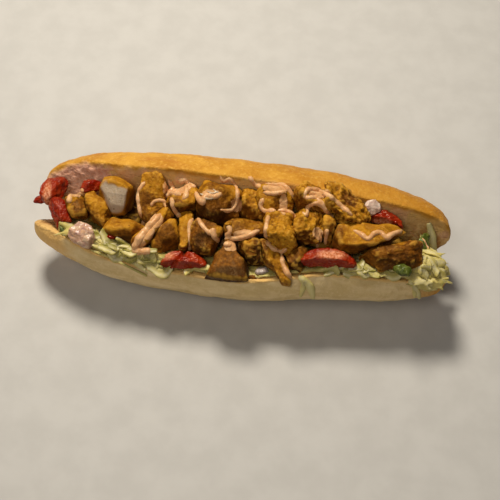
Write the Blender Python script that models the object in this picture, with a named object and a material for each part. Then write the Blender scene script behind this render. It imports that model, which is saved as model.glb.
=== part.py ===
"""A chicken baguette: an opened sandwich roll filled with shredded lettuce, tomato, diced roast chicken
and a thick dressing, at its real size. Metres, +Z up.

The roll is sliced lengthwise and still holds together along one side, the hinge. It lies with the hinge
down, above the origin, and X runs along it. The browned top half stands up at +Y. The paler base leans
out at -Y like a tray, and carries the filling.
"""

import math
import random
from collections import namedtuple

import bmesh
import bpy
import numpy as np
from mathutils import Euler, Matrix, Vector, noise
from mathutils.bvhtree import BVHTree

MM = 0.001

# The roll.
ROLL_LENGTH = 268 * MM
ROLL_WIDTH = 60 * MM
ROLL_MIDDLE = -2 * MM
END_ROUNDNESS = 2.4
SIDE_ROUNDNESS = 0.8
TOP_THICKNESS = 35 * MM
BASE_THICKNESS = 24.5 * MM
HINGE_HEIGHT = 16.5 * MM
UNCUT_WIDTH = 7 * MM

# How far each half leans up from level, in degrees, at five stations from the left end to the right.
TOP_LEAN = (57, 74, 77, 79, 76)
BASE_LEAN = (47, 28, 27, 40, 38)

# The crust that folds round under the hinge, which the baguette rests on.
HEEL_SIZE = (216 * MM, 54 * MM, 24 * MM)
HEEL_HEIGHT = 10 * MM
HEEL_ROUNDNESS = 0.7
HEEL_SEGMENTS = 16
HEEL_RINGS = 12

ROLL_STATIONS = 25
FACE_POINTS = 5
CRUST_POINTS = 13

# The free space kept between neighbouring pieces.
CLEARANCE = 0.35 * MM

# Points nearer than this are one, and so are points this near a cut.
SAME_POINT = 0.01 * MM
CUT_REACH = 0.05 * MM

# Faces that meet at less than this are joined into one flat, and edges sharper than the other are creases.
FLAT_ANGLE = math.radians(4)
CREASE_ANGLE = math.radians(35)

# The dressing is squeezed on from in front: this steeply, and from this far round to the right.
POUR_SLOPE = math.radians(57)
POUR_TURN = math.radians(8)
DRESSING_STEP = 3.4 * MM
DRESSING_SIDES = 4
DRESSING_TIP = 0.7

# How far out a stroke of dressing is traced from.
POUR_HEIGHT = 300 * MM

# Cut chunks: how finely their surface is divided, how boxy they are, how lumpy, how many lumps fit across
# one, and how many knife flats it has and how near its middle, as a share of its size.
CHUNK_CUTS = 2
CHUNK_SQUARENESS = 4.5
CHUNK_SWELL = 1.04
CHUNK_LUMPS = 0.22
CHUNK_LUMP_COUNT = 1.2
CHUNK_FLATS = 5
CHUNK_FLAT_PLACES = (0.8, 0.95)

# Tomato wedges: their sections, how full their ends are, and how far they bow, as a share of their length.
WEDGE_STATIONS = 7
WEDGE_POINTS = 6
WEDGE_FULLNESS = 2.2
WEDGE_BOW = 0.1

# The lettuce bed on the base's cut face.
BED_START = -116 * MM
BED_END = 128 * MM
BED_DEPTH = 7 * MM
BED_STATIONS = 18
BED_POINTS = 6
BED_LUMPS = 0.4
BED_LUMP_SPACING = 11 * MM
BED_HINGE_GAP = 5 * MM
BED_RIM_GAP = 2 * MM

# Shreds of lettuce: how much they narrow, twist and curl along their length, and how steeply they set out.
SHRED_WIDTH = 5 * MM
SHRED_THICKNESS = 1.2 * MM
SHRED_SEGMENTS = 4
SHRED_NARROWING = 0.5
SHRED_TWIST = 0.7
SHRED_TWIST_RATE = 3
SHRED_CURL = 0.5
SHRED_CURL_RATE = 5
SHRED_RISE = 0.25
FULL_PHASE = 6

# How long shreds are along the rim and in the tuft, how much they sag, and how far in and down those on
# the rim start.
RIM_SHRED_LENGTHS = (13 * MM, 20 * MM)
RIM_SHRED_INSET = (5 * MM, 10 * MM)
RIM_SHRED_SINK = 0.5 * MM
RIM_SHRED_SAG = 0.3
END_SHRED_LENGTHS = (14 * MM, 19 * MM)
END_SHRED_SAG = 0.5
END_SHRED_SPREAD = 0.3

# Where shreds show along the rim, from x to x in millimetres and how many.
SHRED_SPANS = ((-104, -34, 11), (-8, 18, 2), (66, 104, 5))

# The right end's tuft: how many shreds it has, and the box that they spring from, in millimetres.
END_SHREDS = 10
END_SHRED_BOX = ((104, -39, 39), (120, -18, 48))

# The lump of lettuce that the tuft springs from.
MOUND_PLACE = (113 * MM, -20 * MM, 40 * MM)
MOUND_SIZE = (34 * MM, 34 * MM, 22 * MM)
MOUND_LUMPS = 0.35

# The shred that hangs over the base's rim: where, how much of it lies inside, how many thicknesses it lies
# above the cut face there and at the rim, its steps down the crust, and how it slopes and sways.
HANGING_SHRED = 43 * MM
HANGING_INSIDE = 7 * MM
HANGING_RIMWARD = 0.3
HANGING_LIFTS = (2.5, 1.7)
HANGING_SLOPE = 0.1
HANGING_SWAY_RATE = 1.3
HANGING_STEP = 3.2 * MM
HANGING_STEPS = 4
HANGING_SWAY = 1.2 * MM

# The pale rib that leans on the top half: its foot, its head, how far it bows and its width.
RIB_FOOT = (121 * MM, -13 * MM, 38 * MM)
RIB_HEAD = (112.5 * MM, 3.5 * MM, 53 * MM)
RIB_BOW = 3 * MM
RIB_WIDTH = 4.5 * MM
RIB_SIDE = (1, 0.3, 0.3)
RIB_POINTS = 5

# How deep the bed stays at the rim, as a share, at five stations from the left end to the right.
BED_RIM = (1, 1.2, 0.3, 0.5, 1.3)

# A cut piece of food: where its middle is in millimetres, its length, width and height, its turns about
# Z, Y and X in degrees, and how much it narrows towards the far end of its length.
Piece = namedtuple("Piece", "name x y z length width height yaw pitch roll point")

CHICKEN = (
    Piece("chicken_left_small", -107, -10, 45, 15, 18, 16, 20, 0, 10, 0.1),
    Piece("chicken_left_strip", -93, -11, 47, 28, 14, 15, -40, 12, 0, 0.2),
    Piece("chicken_cut_cube", -82.5, -1.5, 51, 22, 20, 23, -10, 0, -46, 0.0),
    Piece("chicken_left_front_roll", -69, -26, 45, 33, 17, 17, -6, 6, 0, 0.25),
    Piece("chicken_standing_slab", -58, 1, 51, 22, 34, 17, 10, -10, 38, 0.1),
    Piece("chicken_dressed_knob", -39.5, 0, 50, 29, 23, 23, 8, -10, 0, 0.15),
    Piece("chicken_round_left", -18.5, 1, 53.5, 33, 30, 30, 15, 5, 10, 0.1),
    Piece("chicken_slant_strip", -55.5, -22.5, 48, 37, 12, 16, 57, -8, 0, 0.15),
    Piece("chicken_brown_wedge", -44.5, -23, 45, 22, 21, 21, 60, -20, 10, 0.35),
    Piece("chicken_narrow_peak", -34.5, -19, 47, 29, 17, 18, 100, -12, 0, 0.3),
    Piece("chicken_outlined", -22.5, -22, 47, 23, 23, 21, -20, 0, 15, 0.15),
    Piece("chicken_front_triangle", -3.3, -35.6, 45.2, 28, 41, 19, 93, -20, 0, 0.72),
    Piece("chicken_back_middle", 3, 3, 51, 18, 22, 24, 5, 0, 0, 0.1),
    Piece("chicken_middle_flat", 2.5, -16, 50, 30, 16, 15, 4, 6, 0, 0.15),
    Piece("chicken_back_knob", 19.3, 4.5, 57, 24, 22, 23, 0, 0, -15, 0.05),
    Piece("chicken_big_middle", 24.5, -17, 53, 32, 24, 24, 88, 18, 0, 0.0),
    Piece("chicken_front_brown", 11, -27, 44, 22, 20, 18, -40, 10, 0, 0.2),
    Piece("chicken_front_tip", 24.1, -34, 48, 34, 15, 15, -50, 12, 0, 0.4),
    Piece("chicken_front_small", 37, -31, 46, 19, 18, 18, 50, 0, 10, 0.2),
    Piece("chicken_dressed_cube", 41, -10, 53, 24, 21, 22, -15, 0, 10, 0.05),
    Piece("chicken_back_long", 44.5, 5, 59, 30, 18, 20, -12, 10, 0, 0.1),
    Piece("chicken_right_stub", 54, -9, 53, 14, 20, 20, 0, 0, 0, 0.1),
    Piece("chicken_flaky_back", 60.5, 3.5, 60, 36, 19, 18, -26, 16, 0, 0.1),
    Piece("chicken_flaky_tip", 64.5, -3, 54, 18, 15, 15, -40, 10, 0, 0.3),
    Piece("chicken_smooth_strip", 79.5, -14, 56.5, 46, 19, 16, 6, -2, 10, 0.3),
    Piece("chicken_browned_strip", 95, -23, 51.5, 42, 18, 18, 12, -6, 20, 0.15),
    Piece("chicken_under_left", -84, -8, 34, 40, 22, 16, 4, 0, 0, 0.1),
    Piece("chicken_under_slab", -46, -8, 34, 32, 22, 18, 8, 0, 0, 0.1),
    Piece("chicken_under_middle", -12, -8, 33, 32, 24, 18, -8, 0, 0, 0.1),
    Piece("chicken_under_cube", 23, -8, 35, 34, 22, 18, 8, 0, 0, 0.1),
    Piece("chicken_under_right", 58, -8, 38, 32, 19, 18, -8, 0, 0, 0.1),
    Piece("chicken_under_strip", 88, -8, 41, 28, 16, 16, 0, 0, 0, 0.1),
)

TOMATO = (
    Piece("tomato_left_upper", -123.5, 0, 46, 26, 17, 13, 76, 8, 25, 0.2),
    Piece("tomato_left_spike", -131.5, -5.5, 42, 14, 7, 6, 15, 0, 20, 0.5),
    Piece("tomato_left_lower", -118, -18, 46, 27, 15, 12, -58, 14, 18, 0.15),
    Piece("tomato_left_back", -99.8, 2.5, 51.5, 15, 12, 10, 40, 10, 0, 0.2),
    Piece("tomato_front_left", -32, -42, 43.5, 32, 13, 13, 2, 0, 35, 0.2),
    Piece("tomato_back_right", 86, 1, 53.5, 30, 11, 12, -10, 2, 30, 0.25),
    Piece("tomato_front_right", 56, -34, 52.5, 37, 13, 13, 2, -3, 35, 0.2),
)

GARNISH = (
    Piece("onion_piece", 79.3, 5.5, 61, 11, 10, 5, 20, 0, 50, 0.1),
    Piece("onion_front", 17, -38.5, 41.5, 10, 8, 5, 20, 0, -25, 0.1),
    Piece("pepper_left", -109.6, -26.5, 45, 11, 8, 5, 30, 0, 20, 0.2),
    Piece("pepper_right", 101.3, -33, 53.5, 11, 8, 6, -10, 0, 10, 0.2),
    Piece("pepper_back_right", 114, -6, 45, 15, 8, 4, 70, 0, 30, 0.1),
    Piece("lettuce_dressed", -97.8, -31.5, 47.5, 17, 14, 12, -25, 0, 10, 0.1),
)

# One squeeze of dressing, as seen along the pour: across to the right and up the slope of the heap, at
# its start and its end, in millimetres. It bows to the left of its way, swings in waves, and is a bead
# of this radius.
Stroke = namedtuple("Stroke", "across0 up0 across1 up1 bow waves swing radius")

DRESSING = (
    Stroke(-111.5, 31.5, -102.5, 40.5, 0.5, 1, 1, 1.7),
    Stroke(-66, 41.5, -62.5, 21.5, -1.5, 0, 0, 1.5),
    Stroke(-48, 46, -29, 40, 0.5, 1, 1.5, 2),
    Stroke(-37.5, 40.5, -45, 34.5, -2.5, 0, 0, 1.8),
    Stroke(-36.5, 40.5, -37, 32.5, 0.5, 0, 0, 1.6),
    Stroke(-30, 37, -22.5, 34, -3, 0, 0, 1.6),
    Stroke(-15, 48.5, -4.5, 34.5, 2.5, 0, 0, 1.8),
    Stroke(-4.5, 34.5, -13.5, 25.5, -2.5, 0, 0, 1.6),
    Stroke(-50.5, 25, -65, 1.5, 0, 1, 1, 2.2),
    Stroke(-65.5, 1.5, -54.5, 1.5, -0.5, 0, 0, 1.8),
    Stroke(-28.5, 21.5, -30, 0.5, -4.5, 0, 0, 1.6),
    Stroke(-30, 19.5, -19, 11, 0.5, 0, 0, 1.6),
    Stroke(-19, 13.5, -10.5, 12, -4.5, 0, 0, 1.8),
    Stroke(-12.5, 7.5, 8, 14.5, -1.5, 0.5, 0.5, 1.9),
    Stroke(11.5, 41.5, 28.5, 33, 3, 0, 0, 2),
    Stroke(10, 38.5, 13, 33, -0.5, 0, 0, 1.6),
    Stroke(9.5, 22.5, 31, 20.5, 3, 0, 0, 1.8),
    Stroke(15, 23, 20, 0, -3, 0, 0, 1.7),
    Stroke(20.5, -0.5, 26.5, -15.5, 0.5, 0, 0, 1.7),
    Stroke(32.5, 26, 38, 26.5, -5, 0, 0, 1.7),
    Stroke(38, 26.5, 54.5, 19, 2, 1, 0.5, 1.8),
    Stroke(36.5, 32.5, 45, 30, 1.5, 0, 0, 1.6),
    Stroke(35.5, 38, 51, 33.5, 1.5, 0, 0, 1.7),
    Stroke(51, 33.5, 65, 23, 0.5, 0, 0, 1.6),
    Stroke(66.5, 14, 94.5, 13.5, 0, 2, 2.5, 1.8),
)

CRUST_BROWN = (0.62, 0.36, 0.13)
CHICKEN_GOLD = (0.50, 0.27, 0.06)
TOMATO_RED = (0.45, 0.05, 0.02)
LETTUCE_GREEN = (0.62, 0.64, 0.36)
PEPPER_GREEN = (0.10, 0.16, 0.05)
ONION_PINK = (0.66, 0.50, 0.44)


def clear_scene():
    for old in list(bpy.data.objects):
        bpy.data.objects.remove(old)


def finish_of(name, colour, roughness):
    """A plain, non-metallic material."""
    material = bpy.data.materials.new(name)
    material.use_nodes = True
    shader = material.node_tree.nodes["Principled BSDF"]
    shader.inputs["Base Color"].default_value = (*colour, 1)
    shader.inputs["Roughness"].default_value = roughness
    shader.inputs["Metallic"].default_value = 0
    return material


def new_object(name, bm, material=None):
    """An object from a bmesh, with its faces turned outwards."""
    bmesh.ops.recalc_face_normals(bm, faces=bm.faces)
    mesh = bpy.data.meshes.new(name)
    bm.to_mesh(mesh)
    bm.free()
    if material:
        mesh.materials.append(material)
    made = bpy.data.objects.new(name, mesh)
    bpy.context.scene.collection.objects.link(made)
    return made


def bmesh_of(made):
    bm = bmesh.new()
    bm.from_mesh(made.data)
    return bm


def store(bm, made):
    bm.to_mesh(made.data)
    bm.free()


def skin_rings(rings, tips):
    """A closed bmesh through rings of points, with each end drawn together to its tip."""
    bm = bmesh.new()
    loops = [[bm.verts.new(point) for point in ring] for ring in rings]
    for near, far in zip(loops, loops[1:]):
        count = len(near)
        for i in range(count):
            j = (i + 1) % count
            bm.faces.new((near[i], near[j], far[j], far[i]))
    for loop, tip in ((loops[0], tips[0]), (loops[-1], tips[1])):
        end = bm.verts.new(tip)
        for i, corner in enumerate(loop):
            bm.faces.new((corner, loop[(i + 1) % len(loop)], end))
    return bm


def keep_largest(bm):
    """Drops the loose scraps that a cut can leave."""
    unseen = set(bm.verts)
    bodies = []
    while unseen:
        body = set()
        front = [unseen.pop()]
        while front:
            vert = front.pop()
            body.add(vert)
            for edge in vert.link_edges:
                other = edge.other_vert(vert)
                if other in unseen:
                    unseen.remove(other)
                    front.append(other)
        bodies.append(body)
    bodies.sort(key=len)
    for body in bodies[:-1]:
        bmesh.ops.delete(bm, geom=list(body), context="VERTS")


def rework(made, step):
    """Simplifies a piece, but leaves alone the spots where that would pinch its surface."""
    held = []
    for attempt in range(8):
        bm = bmesh_of(made)
        reach = 1.5 * MM * (attempt + 1)
        free = {vert for vert in bm.verts if all((vert.co - spot).length > reach for spot in held)}
        edges = [edge for edge in bm.edges if edge.verts[0] in free and edge.verts[1] in free]
        step(bm, [vert for vert in bm.verts if vert in free], edges)
        bmesh.ops.triangulate(bm, faces=bm.faces)
        pinched = [vert.co.copy() for vert in bm.verts if not vert.is_manifold]
        for edge in bm.edges:
            if not edge.is_manifold:
                pinched += [vert.co.copy() for vert in edge.verts]
        if not pinched:
            store(bm, made)
            return
        bm.free()
        held += pinched


def join_close_points(made):
    """Joins points that all but coincide."""

    def step(bm, verts, edges):
        bmesh.ops.remove_doubles(bm, verts=verts, dist=SAME_POINT)

    rework(made, step)


def merge_flats(made, angle):
    """Joins faces that meet at less than an angle into one flat."""

    def step(bm, verts, edges):
        bmesh.ops.dissolve_limit(bm, angle_limit=angle, verts=verts, edges=edges)

    rework(made, step)


def boolean(made, others, operation, solver="EXACT"):
    """One Boolean of a piece with a collection of others, applied, with the others then removed."""
    group = bpy.data.collections.new("operands")
    bpy.context.scene.collection.children.link(group)
    for other in others:
        bpy.context.scene.collection.objects.unlink(other)
        group.objects.link(other)
    step = made.modifiers.new(operation.title(), "BOOLEAN")
    step.operation = operation
    step.solver = solver
    step.operand_type = "COLLECTION"
    step.collection = group
    graph = bpy.context.evaluated_depsgraph_get()
    result = bpy.data.meshes.new_from_object(made.evaluated_get(graph))
    made.modifiers.remove(step)
    finishes = list(made.data.materials)
    made.data = result
    result.materials.clear()
    for finish in finishes:
        result.materials.append(finish)
    for other in others:
        bpy.data.objects.remove(other)
    bpy.data.collections.remove(group)
    bm = bmesh_of(made)
    keep_largest(bm)
    for face in bm.faces:
        face.material_index = 0
    bmesh.ops.triangulate(bm, faces=bm.faces)
    store(bm, made)
    join_close_points(made)


def swollen(made, by):
    """A copy of a piece, with each point moved outwards."""
    bm = bmesh_of(made)
    bm.normal_update()
    for vert in bm.verts:
        vert.co += vert.normal * by
    return new_object("swollen_" + made.name, bm)


def box_of(made):
    points = [vert.co for vert in made.data.vertices]
    low = Vector([min(p[i] for p in points) for i in range(3)])
    high = Vector([max(p[i] for p in points) for i in range(3)])
    return low, high


def boxes_meet(first, second):
    (low_a, high_a), (low_b, high_b) = box_of(first), box_of(second)
    gap = 2 * CLEARANCE
    return all(low_a[i] < high_b[i] + gap and low_b[i] < high_a[i] + gap for i in range(3))


def fit_round(made, placed):
    """Cuts a piece back from those already placed, so that it nests against them with a small gap."""
    near = [other for other in placed if boxes_meet(made, other)]
    if near:
        boolean(made, [swollen(other, CLEARANCE) for other in near], "DIFFERENCE", "MANIFOLD")


def shared_points(first, second):
    """The corners of the space that two pieces would both fill."""
    copies = [new_object("copy", bmesh_of(made)) for made in (first, second)]
    boolean(copies[0], copies[1:], "INTERSECT", "MANIFOLD")
    points = [vert.co.copy() for vert in copies[0].data.vertices]
    bpy.data.objects.remove(copies[0])
    return points


def is_clear(made, placed):
    return not any(boxes_meet(made, other) and shared_points(made, other) for other in placed)


def middle_of(made):
    points = [vert.co for vert in made.data.vertices]
    return sum(points, Vector()) / len(points)


def slice_off(made, place, way):
    """Cuts away what lies beyond a plane, and closes the cut."""
    bm = bmesh_of(made)
    everything = bm.verts[:] + bm.edges[:] + bm.faces[:]
    bmesh.ops.bisect_plane(
        bm, geom=everything, dist=CUT_REACH, plane_co=place, plane_no=way, clear_outer=True
    )
    bmesh.ops.holes_fill(bm, edges=[edge for edge in bm.edges if edge.is_boundary], sides=0)
    bmesh.ops.triangulate(bm, faces=bm.faces)
    bmesh.ops.recalc_face_normals(bm, faces=bm.faces)
    store(bm, made)


def press_apart(pieces):
    """Gives each pair of pieces that would overlap a flat where they press on each other."""
    for i, first in enumerate(pieces):
        for second in pieces[i + 1 :]:
            if not boxes_meet(first, second):
                continue
            points = shared_points(first, second)
            if len(points) < 4:
                continue
            spread = np.array(points) - np.mean(points, axis=0)
            thin = Vector(np.linalg.svd(spread, full_matrices=False)[2][2])
            apart = (middle_of(second) - middle_of(first)).normalized()
            if thin.dot(apart) < 0:
                thin = -thin
            way = (thin + apart * 0.5).normalized()
            reach = [point.dot(way) for point in points]
            place = way * (min(reach) + max(reach)) / 2
            slice_off(first, place - way * CLEARANCE / 2, way)
            slice_off(second, place + way * CLEARANCE / 2, -way)


def along_roll(values, x):
    """A value that changes smoothly between equally spaced stations from the roll's left end."""
    place = (x - ROLL_MIDDLE) / ROLL_LENGTH + 0.5
    place = min(max(place, 0), 1) * (len(values) - 1)
    low = min(int(place), len(values) - 2)
    part = place - low
    return values[low] + (values[low + 1] - values[low]) * part * part * (3 - 2 * part)


def half_axes(side, x):
    """Where a half meets the hinge at x, the way its cut face runs, and the way its crust faces."""
    facing, leans = (1, TOP_LEAN) if side == "top" else (-1, BASE_LEAN)
    lean = math.radians(along_roll(leans, x))
    hinge = Vector((x, 0, HINGE_HEIGHT))
    outward = Vector((0, facing * math.cos(lean), math.sin(lean)))
    crustward = Vector((0, facing * math.sin(lean), -math.cos(lean)))
    return hinge, outward, crustward


def roundness_at(x):
    """The share of the roll's full width at x, which falls to nothing at its ends."""
    share = abs(2 * (x - ROLL_MIDDLE) / ROLL_LENGTH)
    return max(0, 1 - share**END_ROUNDNESS) ** (1 / END_ROUNDNESS)


def power(value, exponent):
    return math.copysign(abs(value) ** exponent, value)


def half_ring(side, x):
    """One section of a half: its cut face from the hinge to the rim, then its crust back again."""
    hinge, outward, crustward = half_axes(side, x)
    share = roundness_at(x)
    middle = ROLL_WIDTH / 2 - UNCUT_WIDTH
    reach = ROLL_WIDTH / 2 * share
    depth = (TOP_THICKNESS if side == "top" else BASE_THICKNESS) * share**SIDE_ROUNDNESS
    ring = []
    for i in range(FACE_POINTS):
        ring.append(hinge + outward * (middle + reach * (2 * i / FACE_POINTS - 1)))
    for i in range(CRUST_POINTS):
        turn = math.pi * i / CRUST_POINTS
        across = middle + reach * power(math.cos(turn), SIDE_ROUNDNESS)
        out = depth * power(math.sin(turn), SIDE_ROUNDNESS)
        ring.append(hinge + outward * across + crustward * out)
    return ring


def roll_half(side):
    """One half of the roll: a flat cut face and a domed crust, drawn in to rounded ends."""
    stations = []
    for i in range(ROLL_STATIONS):
        share = math.sin(math.pi / 2 * (2 * (i + 0.6) / (ROLL_STATIONS + 0.2) - 1))
        stations.append(ROLL_MIDDLE + ROLL_LENGTH / 2 * share)
    rings = [half_ring(side, x) for x in stations]
    tips = []
    for x in (ROLL_MIDDLE - ROLL_LENGTH / 2, ROLL_MIDDLE + ROLL_LENGTH / 2):
        hinge, outward, _ = half_axes(side, x)
        tips.append(hinge + outward * (ROLL_WIDTH / 2 - UNCUT_WIDTH))
    return new_object(side + "_half", skin_rings(rings, tips))


def heel():
    """The fold of crust under the hinge."""
    bm = bmesh.new()
    bmesh.ops.create_uvsphere(bm, u_segments=HEEL_SEGMENTS, v_segments=HEEL_RINGS, radius=0.5)
    for vert in bm.verts:
        across = Vector((power(2 * vert.co.z, HEEL_ROUNDNESS), 2 * vert.co.y, 2 * vert.co.x)) / 2
        vert.co = Vector([across[i] * HEEL_SIZE[i] for i in range(3)])
        vert.co += Vector((ROLL_MIDDLE, 0, HEEL_HEIGHT))
    return new_object("heel", bm)


def bread(material):
    """The roll, hinged open: both halves joined along the hinge, and flat where it rests."""
    made = roll_half("base")
    made.name = "bread"
    boolean(made, [roll_half("top"), heel()], "UNION")
    bm = bmesh_of(made)
    everything = bm.verts[:] + bm.edges[:] + bm.faces[:]
    bmesh.ops.bisect_plane(
        bm, geom=everything, plane_co=(0, 0, 0), plane_no=(0, 0, 1), clear_inner=True
    )
    rest_edges = [edge for edge in bm.edges if edge.is_boundary]
    bmesh.ops.contextual_create(bm, geom=rest_edges)
    bmesh.ops.triangulate(bm, faces=bm.faces)
    bmesh.ops.recalc_face_normals(bm, faces=bm.faces)
    store(bm, made)
    made.data.materials.append(material)
    return made


def placing(piece):
    """The turn and place of a piece."""
    turn = Euler([math.radians(a) for a in (piece.roll, piece.pitch, piece.yaw)], "XYZ")
    place = Vector((piece.x, piece.y, piece.z)) * MM
    return Matrix.Translation(place) @ turn.to_matrix().to_4x4()


def cut_flat(bm, place, way):
    """Cuts a convex block along a plane, and closes it."""
    everything = bm.verts[:] + bm.edges[:] + bm.faces[:]
    bmesh.ops.bisect_plane(
        bm, geom=everything, dist=0.01, plane_co=place, plane_no=way, clear_outer=True
    )
    bmesh.ops.holes_fill(bm, edges=[edge for edge in bm.edges if edge.is_boundary], sides=0)


def diced(piece, material):
    """A cut chunk: a rounded block with lumps, knife flats and a narrower end."""
    draw = random.Random(piece.name)
    bm = bmesh.new()
    bmesh.ops.create_cube(bm, size=2)
    bmesh.ops.subdivide_edges(bm, edges=bm.edges, cuts=CHUNK_CUTS, use_grid_fill=True)
    where = Vector([draw.uniform(-50, 50) for _ in range(3)])
    for vert in bm.verts:
        size = sum(abs(c) ** CHUNK_SQUARENESS for c in vert.co) ** (1 / CHUNK_SQUARENESS)
        on_block = vert.co / size
        vert.co = on_block * (CHUNK_SWELL + CHUNK_LUMPS * noise.noise(on_block * CHUNK_LUMP_COUNT + where))
    for _ in range(CHUNK_FLATS):
        way = Vector([draw.gauss(0, 1) for _ in range(3)]).normalized()
        cut_flat(bm, way * draw.uniform(*CHUNK_FLAT_PLACES), way)
    size = Vector((piece.length, piece.width, piece.height)) * MM / 2
    for vert in bm.verts:
        narrowing = 1 - piece.point * (vert.co.x + 1) / 2
        vert.co.y *= narrowing * size.y
        vert.co.z *= (1 + narrowing) / 2 * size.z
        vert.co.x *= size.x
    bmesh.ops.triangulate(bm, faces=bm.faces)
    bm.transform(placing(piece))
    return new_object(piece.name, bm, material)


def tomato_wedge(piece, material):
    """A wedge of tomato: a round outer skin below and two cut faces that meet in a ridge."""
    rings = []
    across, up = piece.width * MM / 2, piece.height * MM / 2
    for i in range(WEDGE_STATIONS):
        place = -1 + 2 * (i + 0.5) / WEDGE_STATIONS
        share = (1 - abs(place) ** WEDGE_FULLNESS) ** 0.5 * (1 - piece.point * (place + 1) / 4)
        arch = WEDGE_BOW * piece.length * MM * (1 - place * place)
        x = place * piece.length * MM / 2
        ring = [Vector((x, arch, up * share))]
        for j in range(WEDGE_POINTS):
            turn = math.pi * (1 + j / (WEDGE_POINTS - 1))
            y = math.cos(turn) * across * share + arch
            ring.append(Vector((x, y, math.sin(turn) * up * share)))
        rings.append(ring)
    end = piece.length * MM / 2
    bm = skin_rings(rings, (Vector((-end, 0, 0)), Vector((end, 0, 0))))
    bmesh.ops.triangulate(bm, faces=bm.faces)
    bm.transform(placing(piece))
    return new_object(piece.name, bm, material)


def pour_axes():
    """The way the dressing falls, and the ways across it and up the slope of the heap."""
    flat = math.cos(POUR_SLOPE)
    falls = -Vector((math.sin(POUR_TURN) * flat, -math.cos(POUR_TURN) * flat, math.sin(POUR_SLOPE)))
    across = Vector((math.cos(POUR_TURN), math.sin(POUR_TURN), 0))
    return falls, across, across.cross(falls)


def stroke_points(stroke):
    """Points along a stroke, across and up the plane that the pour meets squarely."""
    start = Vector((stroke.across0, stroke.up0)) * MM
    end = Vector((stroke.across1, stroke.up1)) * MM
    run = end - start
    aside = Vector((-run.y, run.x)).normalized()
    length = run.length + (4 * stroke.waves * stroke.swing + abs(stroke.bow)) * MM
    count = max(3, round(length / DRESSING_STEP) + 1)
    for i in range(count):
        u = i / (count - 1)
        off = stroke.bow * 4 * u * (1 - u) + stroke.swing * math.sin(2 * math.pi * stroke.waves * u)
        yield start + run * u + aside * off * MM


def dressing_runs(chunks):
    """For each chunk, the stretches of dressing that land on it, each a list of points and a radius."""
    falls, across, up = pour_axes()
    trees = []
    for chunk in chunks:
        bm = bmesh_of(chunk)
        trees.append(BVHTree.FromBMesh(bm))
        bm.free()
    runs = {chunk.name: [] for chunk in chunks}
    for stroke in DRESSING:
        last = None
        for flat in stroke_points(stroke):
            above = across * flat.x + up * flat.y - falls * POUR_HEIGHT
            hits = []
            for index, tree in enumerate(trees):
                point, _, _, distance = tree.ray_cast(above, falls)
                if point:
                    hits.append((distance, index, point))
            if not hits:
                last = None
                continue
            _, index, point = min(hits, key=lambda hit: hit[0])
            name = chunks[index].name
            if name != last:
                runs[name].append(([], stroke.radius * MM))
                last = name
            runs[name][-1][0].append(point)
    return runs


def bead(points, radius):
    """A low-sided bead of dressing through points."""
    rings = []
    for i, point in enumerate(points):
        ahead = points[min(i + 1, len(points) - 1)]
        behind = points[max(i - 1, 0)]
        way = (ahead - behind).normalized()
        side = way.cross(Vector((0, 0.3, 1))).normalized()
        other = way.cross(side)
        ring = []
        for j in range(DRESSING_SIDES):
            turn = 2 * math.pi * j / DRESSING_SIDES
            ring.append(point + (side * math.cos(turn) + other * math.sin(turn)) * radius)
        rings.append(ring)
    start = points[0] - (points[1] - points[0]).normalized() * radius * DRESSING_TIP
    end = points[-1] + (points[-1] - points[-2]).normalized() * radius * DRESSING_TIP
    bm = skin_rings(rings, (start, end))
    bmesh.ops.triangulate(bm, faces=bm.faces)
    return new_object("bead", bm)


def dress(chunks, placed):
    """Fuses to each chunk the dressing that lands on it, clear of its neighbours."""
    for name, runs in dressing_runs(chunks).items():
        chunk = bpy.data.objects[name]
        others = [other for other in placed if other is not chunk]
        beads = [bead(points, radius) for points, radius in runs if len(points) > 1]
        for laid in beads:
            fit_round(laid, others)
        if beads:
            boolean(chunk, beads, "UNION", "MANIFOLD")
            merge_flats(chunk, FLAT_ANGLE)


def bed_ring(x):
    """One section of the lettuce bed, lying on the base's cut face."""
    hinge, outward, crustward = half_axes("base", x)
    share = roundness_at(x)
    middle = ROLL_WIDTH / 2 - UNCUT_WIDTH
    inner = max(middle - ROLL_WIDTH / 2 * share + BED_RIM_GAP, BED_HINGE_GAP)
    rim = middle + ROLL_WIDTH / 2 * share - BED_RIM_GAP
    last = BED_POINTS - 1
    spots = [inner + (rim - inner) * i / last for i in range(BED_POINTS)]
    ring = [hinge + outward * across - crustward * CLEARANCE * 1.5 for across in spots]
    for i in reversed(range(BED_POINTS)):
        lump = 1 + BED_LUMPS * noise.noise(Vector((x, spots[i], 0)) / BED_LUMP_SPACING)
        rimward = (i / last) ** 2
        depth = BED_DEPTH * lump * (1 - rimward + rimward * along_roll(BED_RIM, x))
        ring.append(hinge + outward * spots[i] - crustward * depth)
    return ring


def bed(material):
    """The bed of shredded lettuce under the filling."""
    stations = [BED_START + (BED_END - BED_START) * i / (BED_STATIONS - 1) for i in range(BED_STATIONS)]
    rings = [bed_ring(x) for x in stations]
    tips = [sum(ring, Vector()) / len(ring) for ring in (rings[0], rings[-1])]
    bm = skin_rings(rings, tips)
    bmesh.ops.triangulate(bm, faces=bm.faces)
    return new_object("lettuce", bm, material)


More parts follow.
